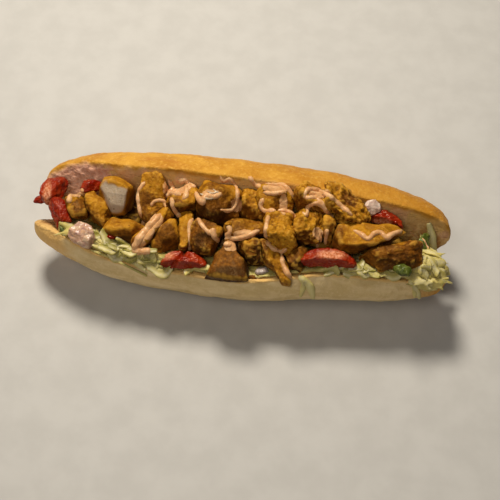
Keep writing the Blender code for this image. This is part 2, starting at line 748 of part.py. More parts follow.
def strip_of_leaf(points, sides, width):
    """A thin strip of lettuce through points, its face turned by the side given at each."""
    rings = []
    for i, point in enumerate(points):
        way = (points[min(i + 1, len(points) - 1)] - points[max(i - 1, 0)]).normalized()
        across = (sides[i] - way * sides[i].dot(way)).normalized()
        face = way.cross(across)
        u = i / (len(points) - 1)
        half = across * width / 2 * (1 - SHRED_NARROWING * u * u)
        thick = face * SHRED_THICKNESS / 2
        corners = (half + thick, thick - half, -half - thick, half - thick)
        rings.append([point + corner for corner in corners])
    start = points[0] - (points[1] - points[0]).normalized() * MM
    end = points[-1] + (points[-1] - points[-2]).normalized() * width / 2
    bm = skin_rings(rings, (start, end))
    bmesh.ops.triangulate(bm, faces=bm.faces)
    return new_object("shred", bm)


def shred(draw, start, way, length, sag):
    """A wavy shred of lettuce from a point: flat, curling and a little twisted."""
    side = way.cross(Vector((0, 0, 1))).normalized()
    phase = draw.uniform(0, FULL_PHASE)
    points = [Vector(start)]
    sides = []
    for i in range(SHRED_SEGMENTS + 1):
        u = i / SHRED_SEGMENTS
        twist = SHRED_TWIST * math.sin(phase + SHRED_TWIST_RATE * u)
        sides.append(side * math.cos(twist) + Vector((0, 0, 1)) * math.sin(twist))
        curl = SHRED_CURL * math.sin(phase + SHRED_CURL_RATE * u)
        heading = way + side * curl + Vector((0, 0, SHRED_RISE - sag * u))
        points.append(points[-1] + heading.normalized() * length / SHRED_SEGMENTS)
    return strip_of_leaf(points[:-1], sides, SHRED_WIDTH)


def hanging_shred(x):
    """A shred that hangs from the bed over the base's rim and down its crust."""
    hinge, outward, crustward = half_axes("base", x)
    rim = hinge + outward * (ROLL_WIDTH / 2 - UNCUT_WIDTH + ROLL_WIDTH / 2 * roundness_at(x))
    points = [
        rim - outward * HANGING_INSIDE - crustward * SHRED_THICKNESS * HANGING_LIFTS[0],
        rim - outward * HANGING_INSIDE * HANGING_RIMWARD - crustward * SHRED_THICKNESS * HANGING_LIFTS[1],
    ]
    for i in range(HANGING_STEPS):
        down = (i + 1) * HANGING_STEP
        sway = Vector((HANGING_SWAY * math.sin(HANGING_SWAY_RATE * i), 0, 0))
        points.append(rim + sway + outward * (SHRED_THICKNESS - HANGING_SLOPE * down) + crustward * down)
    return strip_of_leaf(points, [Vector((1, 0, 0))] * len(points), SHRED_WIDTH)


def leaning_rib():
    """The pale rib that leans on the top half at the right end, with its foot in the tuft."""
    foot, head = Vector(RIB_FOOT), Vector(RIB_HEAD)
    points = []
    for i in range(RIB_POINTS):
        u = i / (RIB_POINTS - 1)
        points.append(foot.lerp(head, u) - Vector((0, RIB_BOW * math.sin(math.pi * u), 0)))
    return strip_of_leaf(points, [Vector(RIB_SIDE)] * RIB_POINTS, RIB_WIDTH)


def rim_shred(draw, x):
    """A shred that lies along the edge of the bed."""
    hinge, outward, crustward = half_axes("base", x)
    rim = ROLL_WIDTH / 2 - UNCUT_WIDTH + ROLL_WIDTH / 2 * roundness_at(x)
    lift = BED_DEPTH * along_roll(BED_RIM, x) - RIM_SHRED_SINK
    start = hinge + outward * (rim - draw.uniform(*RIM_SHRED_INSET)) - crustward * lift
    way = Vector((draw.choice((-1, 1)), draw.uniform(-0.5, 0.1), 0.1)).normalized()
    return shred(draw, start, way, draw.uniform(*RIM_SHRED_LENGTHS), RIM_SHRED_SAG)


def end_shred(draw, side):
    """A shred of the tuft that spills out of the right end."""
    start = Vector([draw.uniform(low, high) for low, high in zip(*END_SHRED_BOX)]) * MM
    way = Vector((1, draw.uniform(-0.6, 0.5) + side, draw.uniform(-0.2, 0.3))).normalized()
    return shred(draw, start, way, draw.uniform(*END_SHRED_LENGTHS), END_SHRED_SAG)


def end_mound():
    """The lump of lettuce between the halves at the right end, which the tuft springs from."""
    bm = bmesh.new()
    bmesh.ops.create_icosphere(bm, subdivisions=2, radius=1)
    for vert in bm.verts:
        vert.co *= 1 + MOUND_LUMPS * noise.noise(vert.co * 1.7)
        vert.co = Vector([vert.co[i] * MOUND_SIZE[i] / 2 for i in range(3)])
    bm.transform(Matrix.Translation(Vector(MOUND_PLACE)))
    return new_object("mound", bm)


def heap_lettuce(made, placed):
    """Fuses the showing shreds to the bed, each cut clear of the pieces round it."""
    draw = random.Random(7)
    shreds = []
    for start, end, count in SHRED_SPANS:
        for i in range(count):
            x = start + (end - start) * (i + draw.uniform(0.2, 0.8)) / count
            shreds.append(rim_shred(draw, x * MM))
    for i in range(END_SHREDS):
        shreds.append(end_shred(draw, END_SHRED_SPREAD if i % 2 else -END_SHRED_SPREAD))
    shreds.append(end_mound())
    shreds.append(hanging_shred(HANGING_SHRED))
    shreds.append(leaning_rib())
    for strip in shreds:
        fit_round(strip, placed)
    fused = [strip for strip in shreds if strip.data.polygons and is_clear(strip, placed)]
    for strip in shreds:
        if strip not in fused:
            bpy.data.objects.remove(strip)
    boolean(made, fused, "UNION", "MANIFOLD")
    merge_flats(made, FLAT_ANGLE / 4)


def main():
    clear_scene()
    crust = finish_of("crust", CRUST_BROWN, 0.6)
    gold = finish_of("roast_chicken", CHICKEN_GOLD, 0.4)
    red = finish_of("tomato", TOMATO_RED, 0.25)
    leaf = finish_of("lettuce", LETTUCE_GREEN, 0.45)
    green = finish_of("pepper", PEPPER_GREEN, 0.3)
    pale = finish_of("onion", ONION_PINK, 0.35)
    loaf = bread(crust)
    bedding = bed(leaf)
    fit_round(bedding, [loaf])
    chunks = [diced(piece, gold) for piece in CHICKEN]
    wedges = [tomato_wedge(piece, red) for piece in TOMATO]
    extras = [diced(piece, finish) for piece, finish in zip(GARNISH, (pale, pale, green, green, green, leaf))]
    filling = chunks + wedges + extras
    press_apart(filling)
    for made in filling:
        fit_round(made, [loaf, bedding])
        merge_flats(made, FLAT_ANGLE)
    dress(chunks, [loaf, bedding] + filling)
    heap_lettuce(bedding, [loaf] + filling)
    for made in [loaf, bedding] + filling:
        made.data.shade_smooth()
        made.data.set_sharp_from_angle(angle=CREASE_ANGLE)


main()
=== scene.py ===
import math
import random

import bpy
import numpy as np
from mathutils import Euler, Matrix, Vector, noise
from mathutils.bvhtree import BVHTree


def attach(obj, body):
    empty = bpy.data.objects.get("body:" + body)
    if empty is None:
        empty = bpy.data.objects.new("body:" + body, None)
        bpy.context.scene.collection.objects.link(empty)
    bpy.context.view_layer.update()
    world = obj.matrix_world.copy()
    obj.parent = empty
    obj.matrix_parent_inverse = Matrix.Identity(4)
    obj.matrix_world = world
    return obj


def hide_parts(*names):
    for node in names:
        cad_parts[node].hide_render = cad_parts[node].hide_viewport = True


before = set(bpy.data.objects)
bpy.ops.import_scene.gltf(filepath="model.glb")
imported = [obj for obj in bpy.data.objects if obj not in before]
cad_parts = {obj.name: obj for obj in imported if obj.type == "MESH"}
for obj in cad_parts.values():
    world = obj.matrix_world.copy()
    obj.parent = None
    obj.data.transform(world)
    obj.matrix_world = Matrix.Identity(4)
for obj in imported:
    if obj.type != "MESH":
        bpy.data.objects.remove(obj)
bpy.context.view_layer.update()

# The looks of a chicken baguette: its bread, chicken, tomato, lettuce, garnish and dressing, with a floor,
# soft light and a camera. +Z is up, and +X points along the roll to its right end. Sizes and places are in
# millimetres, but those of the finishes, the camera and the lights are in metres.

MM = 0.001

# The roll, as its solid is made.
ROLL_LENGTH = 268
ROLL_WIDTH = 60
ROLL_MIDDLE = -2
END_ROUNDNESS = 2.4
HINGE_HEIGHT = 16.5
UNCUT_WIDTH = 7
TOP_LEAN = (57, 74, 77, 79, 76)
BASE_LEAN = (47, 28, 27, 40, 38)

# Where, along X, the base's ends turn golden and its left tip pale, partly as painted light; where the top
# half gets browner, for baking and for painted shade to the right; and where the smear of dressing ends.
LEFT_END = (-128, -100)
RIGHT_END = (104, 130)
LEFT_TIP = (-128, -96)
BROWNER_TOP = (-40, 125)
SMEAR_END = (-94, -86)

# The step of the even mesh that each kind of food gets.
MESH_STEPS = {
    "roll": 1.05, "chunk": 0.75, "hidden chunk": 1.3, "wedge": 0.6, "small cut": 0.45, "lettuce": 1.0,
    "dressing": 0.42, "strand": 0.3,
}

# The camera, and the way the dressing falls: from in front, this steeply and this far round to the right. It
# aims at a height above the floor. How far aside it aims, and its focal length, are in the picture's pixels.
VIEW_SLOPE = math.radians(57)
VIEW_TURN = math.radians(8.2)
VIEW_DISTANCE = 0.631
VIEW_HEIGHT = 0.0345
VIEW_ASIDE = (-5, 26)
VIEW_FOCUS = 972.2
LENS = 70
SENSOR_WIDTH = 36
CLIP_START = 0.01

# The ways from what is seen towards the camera, to its right and up its picture.
VIEW_FLAT = math.cos(VIEW_SLOPE)
VIEW_BACK = Vector((math.sin(VIEW_TURN) * VIEW_FLAT, -math.cos(VIEW_TURN) * VIEW_FLAT, math.sin(VIEW_SLOPE)))
VIEW_RIGHT = Vector((math.cos(VIEW_TURN), math.sin(VIEW_TURN), 0))
VIEW_UP = VIEW_BACK.cross(VIEW_RIGHT)

# How far towards the camera a look for the surface under a place starts, in metres.
LOOK_FROM = 0.3

CHUNKS = (
    "left_small left_strip cut_cube left_front_roll standing_slab dressed_knob round_left slant_strip "
    "brown_wedge narrow_peak outlined front_triangle back_middle middle_flat back_knob big_middle "
    "front_brown front_tip front_small dressed_cube back_long right_stub flaky_back flaky_tip "
    "smooth_strip browned_strip under_left under_slab under_middle under_cube under_right under_strip"
).split()

# How browned a chunk is, with painted shade, where it isn't about as browned as the others, and how
# flaky.
USUAL_BROWNED_AND_SHADE = 0.25
USUAL_FLAKY = 0.15
BROWNED_AND_SHADE = {
    "brown_wedge": 0, "front_brown": 0.85, "round_left": 0.6, "browned_strip": 0.7, "back_middle": 0.45,
    "smooth_strip": 0.12, "left_front_roll": 0.35, "front_small": 1.4, "slant_strip": 0.1,
    "cut_cube": -0.5, "front_triangle": 1.15, "big_middle": -0.4, "dressed_cube": -0.1,
    "standing_slab": 0.5, "outlined": 0.85, "middle_flat": 0.75,
}
FLAKY = {
    "flaky_back": 1.0, "flaky_tip": 0.9, "back_long": 0.6, "dressed_cube": 0.5, "big_middle": 0.5,
    "front_brown": 0.6, "front_tip": 0.35, "back_middle": 0.3, "left_front_roll": -0.1, "slant_strip": -0.1,
    "brown_wedge": -0.1, "front_triangle": -0.15, "smooth_strip": -0.15, "round_left": 0, "cut_cube": -0.1,
}

# How many rounds of smoothing a chunk gets where it isn't as crisp as the others.
USUAL_SOFTNESS = 16
SOFTNESS = {
    "browned_strip": 50, "round_left": 40, "brown_wedge": 28, "middle_flat": 30, "left_front_roll": 24,
    "front_triangle": 26, "big_middle": 26, "back_knob": 30, "left_small": 24, "dressed_knob": 26,
    "cut_cube": 8,
}

# The chunk whose sides slope in, and how wide its top is as a share of its foot.
NARROWED = {"front_triangle": 0.5}

# How far each chunk's tone is from that of the one before, between which heights chunks are painted
# darker on their way down, as painted shade low in the filling, and how proud of its surroundings the
# sharpest ridge stands.
TONE_STEP = 0.618
SHADE_HEIGHTS = (34, 50)
RIDGE_HEIGHT = 0.09

# The way that the painted light comes from: the sides of a chunk that face away from it are painted
# darker, as painted shade.
PAINTED_LIGHT_FROM = np.array([0, 0.45, 0.89])

# The chunk with a freshly cut face, and its turn about Z, Y and X in degrees, place and width. Then how far
# in from its front the cut face fades, and how high up it does.
CUT_CHUNK = ("cut_cube", (-10, 0, -46), (-82.5, -1.5, 51), 20)
CUT_FADE = (1.2, 3.2)
CUT_TOP = (7.5, 9.5)

# Each tomato wedge's turn about Z, Y and X, and its place.
WEDGES = {
    "tomato_left_upper": ((76, 8, 25), (-123.5, 0, 46)),
    "tomato_left_spike": ((15, 0, 20), (-131.5, -5.5, 42)),
    "tomato_left_lower": ((-58, 14, 18), (-118, -18, 46)),
    "tomato_left_back": ((40, 10, 0), (-99.8, 2.5, 51.5)),
    "tomato_front_left": ((2, 0, 35), (-32, -42, 43.5)),
    "tomato_back_right": ((-10, 2, 30), (86, 1, 53.5)),
    "tomato_front_right": ((2, -3, 35), (56, -34, 52.5)),
}

# Squeezes of dressing, seen along the way it falls: the places across to the right and up the slope that
# each goes through, and its radius.
STROKES = (
    (((-111.5, 31.5), (-111, 38), (-106, 40), (-102.5, 40)), 1.7),
    (((-63, 45.5), (-67, 40), (-67.5, 33), (-65.5, 22)), 1.5),
    (((-59.5, 29.5), (-57, 33), (-51.5, 33), (-50, 29)), 1.3),
    (((-49, 47.5), (-46, 41), (-50.5, 37), (-44, 37.5), (-40, 36)), 1.9),
    (((-46, 35), (-44, 27), (-40.5, 23)), 1.8),
    (((-42, 45), (-38, 47), (-34, 42.5), (-28.5, 40.5)), 2.0),
    (((-37.5, 43), (-36.6, 37), (-38.5, 33)), 1.7),
    (((-31, 38.5), (-28.5, 34), (-25.5, 31), (-24.5, 36), (-19, 34.5), (-14.5, 37.5)), 1.9),
    (
        ((-15.5, 49), (-13.5, 45), (-9.7, 47), (-6, 43), (-4.6, 36.5), (-6, 30), (-9.7, 26.5), (-15.5, 27)),
        1.5,
    ),
    (((-52.5, 24.5), (-57, 19), (-63, 12), (-69, 2.5)), 2.5),
    (((-70, 2), (-64, 1), (-58, 1.5)), 2.5),
    (((-34.7, 1.5), (-34.7, 11), (-33.8, 20), (-30, 22), (-26, 16.5), (-20.5, 11.5)), 1.6),
    (((-20, 15), (-18, 9), (-13.5, 6), (-8, 4.5)), 1.9),
    (((-15, 6.5), (-10, 9.5), (-4, 9), (2.5, 11), (9, 14)), 1.8),
    (((-10.5, 17.5), (-9, 13), (-14, 9.5)), 1.7),
    (((2.5, 48), (6, 44), (10, 41)), 1.7),
    (((12, 43.5), (18, 43), (24, 42), (28, 38.5), (30, 34)), 1.8),
    (((11.5, 38), (18, 37), (25, 38)), 1.6),
    (((12, 34.5), (10, 30), (12, 26.5), (18, 26), (24, 26.5), (30, 24), (32.5, 20)), 1.8),
    (((14.5, 23), (13, 14.5), (14.5, 5.5), (21.5, 1), (26, 3)), 1.6),
    (((22.5, -0.5), (23.5, -7), (28, -16)), 1.8),
    (((36.5, 34), (38.5, 39), (45.5, 39), (52, 35), (58, 30), (66, 23)), 1.7),
    (((34.5, 27), (37.5, 23), (40, 29.5), (46, 30.5), (50.5, 26), (55.5, 22)), 1.7),
    (((37, 34), (44, 33.5), (49.5, 29)), 1.6),
    (((46, 14), (46.5, 8), (45, 2)), 1.3),
    (((50.5, 15), (50, 8), (51, 1.5)), 1.3),
    (((66.5, 14), (71, 11.5), (75, 8.5), (79, 12), (83, 12.5), (86, 9), (89, 11), (97, 14)), 1.7),
    (((105, 13.5), (111, 9.5), (115, 2.6)), 0.8),
    (((-67.5, 19.5), (-65.5, 19.3), (-63.5, 18.3)), 2.8),
)

# How far apart the places along a bead are. How deep a bead of dressing sinks into what it lies on, and a
# strand, as a share of its radius. Where the numbers for the strands' uneven widths start. How many places
# a bead needs, and how big a drop between two of them parts it.
STROKE_STEP = 0.8
DRESSING_SINK = 0.35
STRAND_SINK = -0.2
STRANDS_SEED = 50
SHORTEST_BEAD = 4
BEAD_DROP = 5

# Torn strands of pale meat on the round chunk at the left, given the same way.
STRANDS = (
    (((-28, 37), (-24, 35.5), (-21, 37)), 0.6),
    (((-23.5, 38.5), (-20, 37), (-16.5, 38.5)), 0.6),
    (((-25, 34), (-21.5, 33.5), (-18, 35)), 0.7),
    (((-20, 40), (-17.5, 38), (-14.5, 36)), 0.5),
    (((-29, 34.5), (-27, 32), (-24.5, 31)), 0.6),
)

# Small bits that lie on the rest: across and up, as above, half sizes, and what they are bits of.
BITS = (
    ("tomato_bit", (-84, 10.7), (2.8, 2.0, 1.3), "tomato"),
    ("chicken_bit", (4.5, -15.4), (3.4, 1.5, 1.4), "roast_chicken"),
    ("chicken_bit_middle", (-10, 17.5), (2.0, 1.6, 1.4), "roast_chicken"),
)

# From where to where a round spot fades, as shares of its half width.
SPOT_EDGE = (0.4, 1.25)

# Where a film of dressing coats the chunks, seen the same way: its middle, and its half width and height.
FILMS = (
    (-43.5, 43, 11, 8), (-20.8, 36.3, 7, 4), (19.5, 40.2, 10, 4.5), (46, 37, 8, 4), (-8.4, 4.5, 6, 4),
    (-55, 20, 5, 6), (-60, 13, 5, 6), (-65, 5, 5, 6), (-108, 39, 5, 4), (0, 11.7, 9, 3.5),
    (45, 12, 4, 5), (24, 30, 3, 8), (-5, 30, 4, 6),
)

# Where the chunks are painted darkest, for browning and for painted shade, seen the same way: its middle,
# and its half width and height.
DARK_PLACES = (
    (-9, -12.5, 15, 6.5), (-19.5, 25, 14, 7), (95, -3, 17, 4.5), (-76, 8, 12, 4), (64, 33, 7, 5),
    (-50, 11, 8, 10), (-27, 8, 7, 9), (3, -9, 7, 10), (33, -10, 6, 8), (-44, 30, 8, 6), (10, 4, 6, 10),
    (82, 4, 20, 2.5), (56, 12, 6, 8), (-105, 28, 5, 8), (104, 10, 6, 5), (38, 8, 6, 6), (-56, 22, 5, 5),
)

# Where shreds of lettuce show, seen the same way: a line from the left to the right, how far they stray from
# it, how many there are, and how green they are. Their greenness is also painted shade and painted light:
# the left run darker, the right tuft paler.
SHRED_RUNS = (
    (-106, 16, -58, -4, 4, 40, 0.42),
    (-60, -6, -52, -9, 2, 6, 0.1),
    (-30, -9.5, -10, -11.5, 1, 5, 0.1),
    (52, -7, 98, -11, 2.5, 26, 0.6),
    (100, -8, 131, -13, 4.5, 24, 0.0),
)

# Single shreds, seen the same way: the places that each goes through, how wide it is in its middle, how
# green and how much of a rib it is, and how far its end is lifted.
LONG_SHREDS = (
    (((33, -14.5), (38, -17.5), (41, -22), (43, -29.5)), 5.2, 0.05, 0.6, 0),
    (((36, -16.5), (36, -21), (34.5, -26.5)), 3.2, 0.1, 0.3, 0),
    # This rib's share is past 1: painted paler, as painted light where the top half shades it.
    (((116, 19.5), (119, 13), (121.3, 6), (123, -4)), 5.4, 0.0, 1.3, 4.5),
    (((-101.7, 14.2), (-92.3, 9.5), (-86.6, 5), (-76, 4)), 4.0, 0.2, 0.5, 0),
    (((-84, 0.5), (-71, -5), (-61.5, -10.5)), 3.5, 0.1, 0.7, 0),
    (((-97, 1.5), (-84, -3.5), (-71, -9), (-61, -14)), 1.6, 0.5, 0.1, 0),
    (((101, -17), (105, -21.5), (109.5, -28)), 3.6, 0.1, 0.6, 0),
    (((103, -18), (105, -24), (106, -27)), 2.6, 0.2, 0.2, 0),
    (((127, 0), (129, -8), (131, -14)), 3.6, 0.15, 0.5, 0),
    (((108, 2), (116, -1), (124, -6)), 4.2, 0.1, 0.6, 1.5),
    (((111, -4), (120, -8), (131, -12)), 4.5, 0.2, 0.4, 1.5),
)

# The loose shreds are copies of some patterns, made at random and as long as this. A single shred needs so
# many places.
SHREDS_SEED = 11
SHRED_PATTERNS = 9
SHRED_LENGTHS = (9, 18)
SHORTEST_SHRED = 6

# A shred is left out where the filling stands nearer to the camera by more than this.
HIDDEN_BY = 1

# The bed is kept low behind the tuft, right of one place along X and back of one along Y.
BED_BEHIND = (105, -9)
BED_BEHIND_HEIGHT = 41

# The gap between two pieces in one wedge, seen the same way: from here to here, how deep and how wide.
GAPS = {"tomato_front_left": ((-36.5, 2.5), (-46, -10), 2.2, 1.1)}

# Where the flesh of the tomatoes is palest, with pale wet flesh and painted highlights, seen the same way:
# its middle, and its half width and height.
PALE_AND_HIGHLIT_PLACES = ((-50, -1, 6.5, 3.5), (53, -1, 10, 3), (-127, 38, 3, 9), (84, 18, 8, 4), (-103, 31, 4, 4))

# The two colours that the dressing is clouded with.
DRESSING_PINK = (0.76, 0.45, 0.225)
DRESSING_DEEP = (0.62, 0.32, 0.13)

# Each light's place, size, power and colour, where they aim, and the room's own light.
LIGHTS = {
    "key_light": ((-0.2, 0.42, 0.85), 0.26, 10, (1.0, 0.92, 0.79)),
    "fill_light": ((-0.2, -0.6, 0.95), 0.6, 3.4, (1.0, 0.92, 0.82)),
}
LIGHTS_AIM = (0, 0, 0.03)
ROOM_COLOUR = (1.0, 0.95, 0.9, 1)
ROOM_LIGHT = 0.05


def deselect():
    bpy.ops.object.select_all(action="DESELECT")


def pick(piece):
    deselect()
    piece.select_set(True)
    bpy.context.view_layer.objects.active = piece


def finish_step(piece, kind, **settings):
    """Adds a modifier and applies it."""
    step = piece.modifiers.new(kind.title(), kind)
    for name, value in settings.items():
        setattr(step, name, value)
    pick(piece)
    bpy.ops.object.modifier_apply(modifier=step.name)


def mesh_evenly(piece, kind, factor, rounds):
    """Makes a piece's mesh anew in even steps and smooths it."""
    finish_step(piece, "REMESH", mode="VOXEL", voxel_size=MESH_STEPS[kind] * MM)
    finish_step(piece, "SMOOTH", factor=factor, iterations=rounds)


def new_object(name, data):
    made = bpy.data.objects.new(name, data)
    bpy.context.scene.collection.objects.link(made)
    return made


def copy_of(node, name):
    """A merged copy of a solid, to be worked on."""
    piece = new_object(name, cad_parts[node].data.copy())
    piece.data.materials.clear()
    pick(piece)
    bpy.ops.object.mode_set(mode="EDIT")
    bpy.ops.mesh.select_all(action="SELECT")
    bpy.ops.mesh.remove_doubles(threshold=0.01 * MM)
    bpy.ops.object.mode_set(mode="OBJECT")
    return piece


def points_of(piece):
    """The places of a piece's points, in millimetres, one row each."""
    flat = np.zeros(len(piece.data.vertices) * 3)
    piece.data.vertices.foreach_get("co", flat)
    return flat.reshape(-1, 3) / MM


def normals_of(piece):
    flat = np.zeros(len(piece.data.vertices) * 3)
    piece.data.vertex_normals.foreach_get("vector", flat)
    return flat.reshape(-1, 3)


def move_points(piece, places):
    piece.data.vertices.foreach_set("co", (places * MM).ravel())
    piece.data.update()


def push_out(piece, distances):
    """Moves each point along its normal, by so many millimetres."""
    move_points(piece, points_of(piece) + normals_of(piece) * np.asarray(distances)[:, None])


def write_values(piece, **values):
    """Keeps numbers for each point of a piece, for its finish to read."""
    for name, numbers in values.items():
        stored = piece.data.attributes.new(name, "FLOAT", "POINT")
        stored.data.foreach_set("value", np.full(len(piece.data.vertices), numbers, float))


def write_own(piece, places):
    """Keeps each point's place on its piece's own axes, given in millimetres."""
    stored = piece.data.attributes.new("own", "FLOAT_VECTOR", "POINT")
    stored.data.foreach_set("vector", (places * MM).ravel())


def bumps(places, size, seed, depth=2):
    """Smooth random numbers from about -1 to 1 for places, with lumps of a size in millimetres."""
    aside = Vector((seed * 7.31, seed * 3.17, seed * 5.73))
    return np.array([noise.fractal(Vector(p) / size + aside, 0.6, 2, depth) for p in places])


def ease(low, high, values):
    """0 up to low, 1 from high on, and smooth between."""
    part = np.clip((np.asarray(values) - low) / (high - low), 0, 1)
    return part * part * (3 - 2 * part)


def hand_over(piece, slot, finish, *nodes):
    """Shades a piece smooth, gives it its finish, and hides the solids that it stands for."""
    pick(piece)
    bpy.ops.object.shade_smooth()
    piece.data.materials.clear()
    piece.data.materials.append(finish)
    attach(piece, "root")
    if nodes:
        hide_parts(*nodes)


def joined(pieces, name):
    deselect()
    for piece in pieces:
        piece.select_set(True)
    bpy.context.view_layer.objects.active = pieces[0]
    bpy.ops.object.join()
    pieces[0].name = name
    return pieces[0]


class Finish:
    """A material whose colour, roughness and relief come from patterns."""

    def __init__(self, name):
        self.material = bpy.data.materials.new(name)
        self.material.use_nodes = True
        self.tree = self.material.node_tree
        self.shader = self.tree.nodes["Principled BSDF"]
        self.places = self.node("ShaderNodeTexCoord").outputs["Object"]

    def node(self, kind, inputs=None, **settings):
        """A new node with some settings, its inputs fed by name or by number."""
        made = self.tree.nodes.new(kind)
        for name, value in settings.items():
            setattr(made, name, value)
        for socket, value in (inputs or {}).items():
            self.feed(made.inputs[socket], value)
        return made

    def feed(self, socket, value):
        if hasattr(value, "links"):
            self.tree.links.new(value, socket)
        elif isinstance(value, tuple) and len(value) == 3 and socket.type == "RGBA":
            socket.default_value = (*value, 1)
        else:
            socket.default_value = value

    def stored(self, name, kind="Fac"):
        return self.node("ShaderNodeAttribute", attribute_name=name).outputs[kind]

    def speckle(self, size, detail=3, rough=0.55, bend=0, places=None):
        """A cloudy pattern from 0 to 1 whose lumps are of a size in metres."""
        inputs = {"Vector": places or self.places, "Scale": 1 / size, "Detail": detail, "Roughness": rough}
        inputs["Distortion"] = bend
        return self.node("ShaderNodeTexNoise", inputs).outputs["Fac"]

    def cells(self, size, places=None):
        """How far each place is from the nearest of many scattered spots."""
        inputs = {"Vector": places or self.places, "Scale": 1 / size}
        return self.node("ShaderNodeTexVoronoi", inputs).outputs["Distance"]

    def stretched(self, places, stretch):
        """Places squeezed along each axis, so that a pattern on them is drawn out."""
        return self.node("ShaderNodeMapping", {"Vector": places, "Scale": stretch}).outputs["Vector"]

    def between(self, value, low, high, to_low=0.0, to_high=1.0):
        """One number up to low, another from high on, and smooth between."""
        inputs = {"Value": value, "From Min": low, "From Max": high, "To Min": to_low, "To Max": to_high}
        return self.node("ShaderNodeMapRange", inputs, interpolation_type="SMOOTHSTEP").outputs["Result"]

    def sum(self, first, second, operation="ADD"):
        return self.node("ShaderNodeMath", {0: first, 1: second}, operation=operation).outputs[0]

    def times(self, first, second):
        return self.sum(first, second, "MULTIPLY")

    def mix(self, share, first, second):
        """One colour turning into another. Inputs 6 and 7 of the node are its colours."""
        return self.node("ShaderNodeMix", {0: share, 6: first, 7: second}, data_type="RGBA").outputs[2]

    def relief(self, height, depth, under=None):
        """Bumps of a depth in metres from a pattern."""
        inputs = {"Strength": 1, "Distance": depth, "Height": height}
        if under:
            inputs["Normal"] = under
        return self.node("ShaderNodeBump", inputs).outputs["Normal"]

    def done(self, colour, roughness, normal, depths=None, shine=0.5, tint=(1, 1, 1)):
        """Joins the patterns to the shader. Depths: how much light goes in, and how far its colours do."""
        values = {"Base Color": colour, "Roughness": roughness, "Normal": normal}
        values |= {"Specular IOR Level": shine, "Specular Tint": tint}
        if depths:
            values |= {"Subsurface Weight": depths[0], "Subsurface Radius": depths[1:]}
            values["Subsurface Scale"] = 1
        for name, value in values.items():
            self.feed(self.shader.inputs[name], value)
        return self.material


def bread_finish():
    """Golden crust on top, pale crust below, toasted crumb on the cut faces and a smear of dressing."""
    f = Finish("baked_bread")
    golden, crumb, rim = f.stored("golden"), f.stored("crumb"), f.stored("rim")
    smear, stain = f.stored("smear"), f.stored("stain")
    cloud = f.speckle(0.022, 4, 0.6)
    fine = f.speckle(0.0024, 4, 0.65)
    streaks = f.speckle(0.012, 4, 0.6, 0.4, f.stretched(f.places, (0.45, 1.4, 1.4)))
    gold = f.mix(f.between(cloud, 0.35, 0.68), (0.48, 0.205, 0.017), (0.65, 0.33, 0.042))
    gold = f.mix(f.between(streaks, 0.52, 0.72, 0, 0.75), gold, (0.46, 0.175, 0.025))
    gold = f.mix(f.between(fine, 0.48, 0.7, 0, 0.5), gold, (0.84, 0.50, 0.10))
    gold = f.mix(f.between(f.speckle(0.0016, 3), 0.55, 0.7, 0, 0.45), gold, (0.50, 0.20, 0.02))
    pale = f.mix(f.between(streaks, 0.35, 0.65), (0.66, 0.50, 0.24), (0.84, 0.66, 0.37))
    pale = f.mix(f.between(fine, 0.5, 0.72, 0, 0.4), pale, (0.90, 0.74, 0.46))
    pale = f.mix(f.between(f.speckle(0.009, 3), 0.58, 0.7, 0, 0.35), pale, (0.56, 0.38, 0.15))
    # The top half goes browner to the right: baking, and painted shade.
    baked = f.times(f.stored("baked"), f.between(cloud, 0.3, 0.6, 0.4, 0.8))
    gold = f.mix(baked, gold, (0.40, 0.155, 0.012))
    crust = f.mix(golden, pale, gold)
    # The base's left tip goes lighter: golden baking, and painted light.
    crust = f.mix(f.stored("tip"), crust, (0.95, 0.60, 0.22))
    holes = f.between(f.cells(0.0022, places=f.stretched(f.places, (0.6, 1, 1))), 0.05, 0.5)
    inside = f.mix(f.between(cloud, 0.35, 0.7), (0.62, 0.38, 0.15), (0.74, 0.50, 0.23))
    inside = f.mix(f.between(holes, 0.2, 0.8, 0.5, 0), inside, (0.46, 0.25, 0.08))
    inside = f.mix(f.times(rim, f.between(fine, 0.3, 0.7, 0.5, 1)), inside, (0.76, 0.48, 0.16))
    oily = f.times(stain, f.between(f.speckle(0.007, 4, 0.6, 0.5), 0.42, 0.6))
    inside = f.mix(oily, inside, (0.42, 0.20, 0.06))
    colour = f.mix(crumb, crust, inside)
    spread = f.mix(f.between(fine, 0.35, 0.65), (0.65, 0.32, 0.2), (0.82, 0.48, 0.34))
    specks = f.between(f.cells(0.014), 0.06, 0.10, 1, 0)
    spread = f.mix(specks, spread, (0.06, 0.03, 0.02))
    colour = f.mix(smear, colour, spread)
    skin = f.between(cloud, 0.3, 0.7, 0.48, 0.62)
    rough = f.node("ShaderNodeMix", {0: crumb, 2: skin, 3: 0.75}, data_type="FLOAT")
    height = f.sum(f.times(fine, 0.6), f.times(streaks, 0.8))
    height = f.sum(height, f.times(f.times(holes, crumb), 0.4))
    normal = f.relief(height, 0.0007)
    normal = f.relief(f.speckle(0.0012, 2), 0.00022, normal)
    return f.done(colour, rough.outputs[0], normal, shine=0.2, tint=(1.0, 0.8, 0.5))


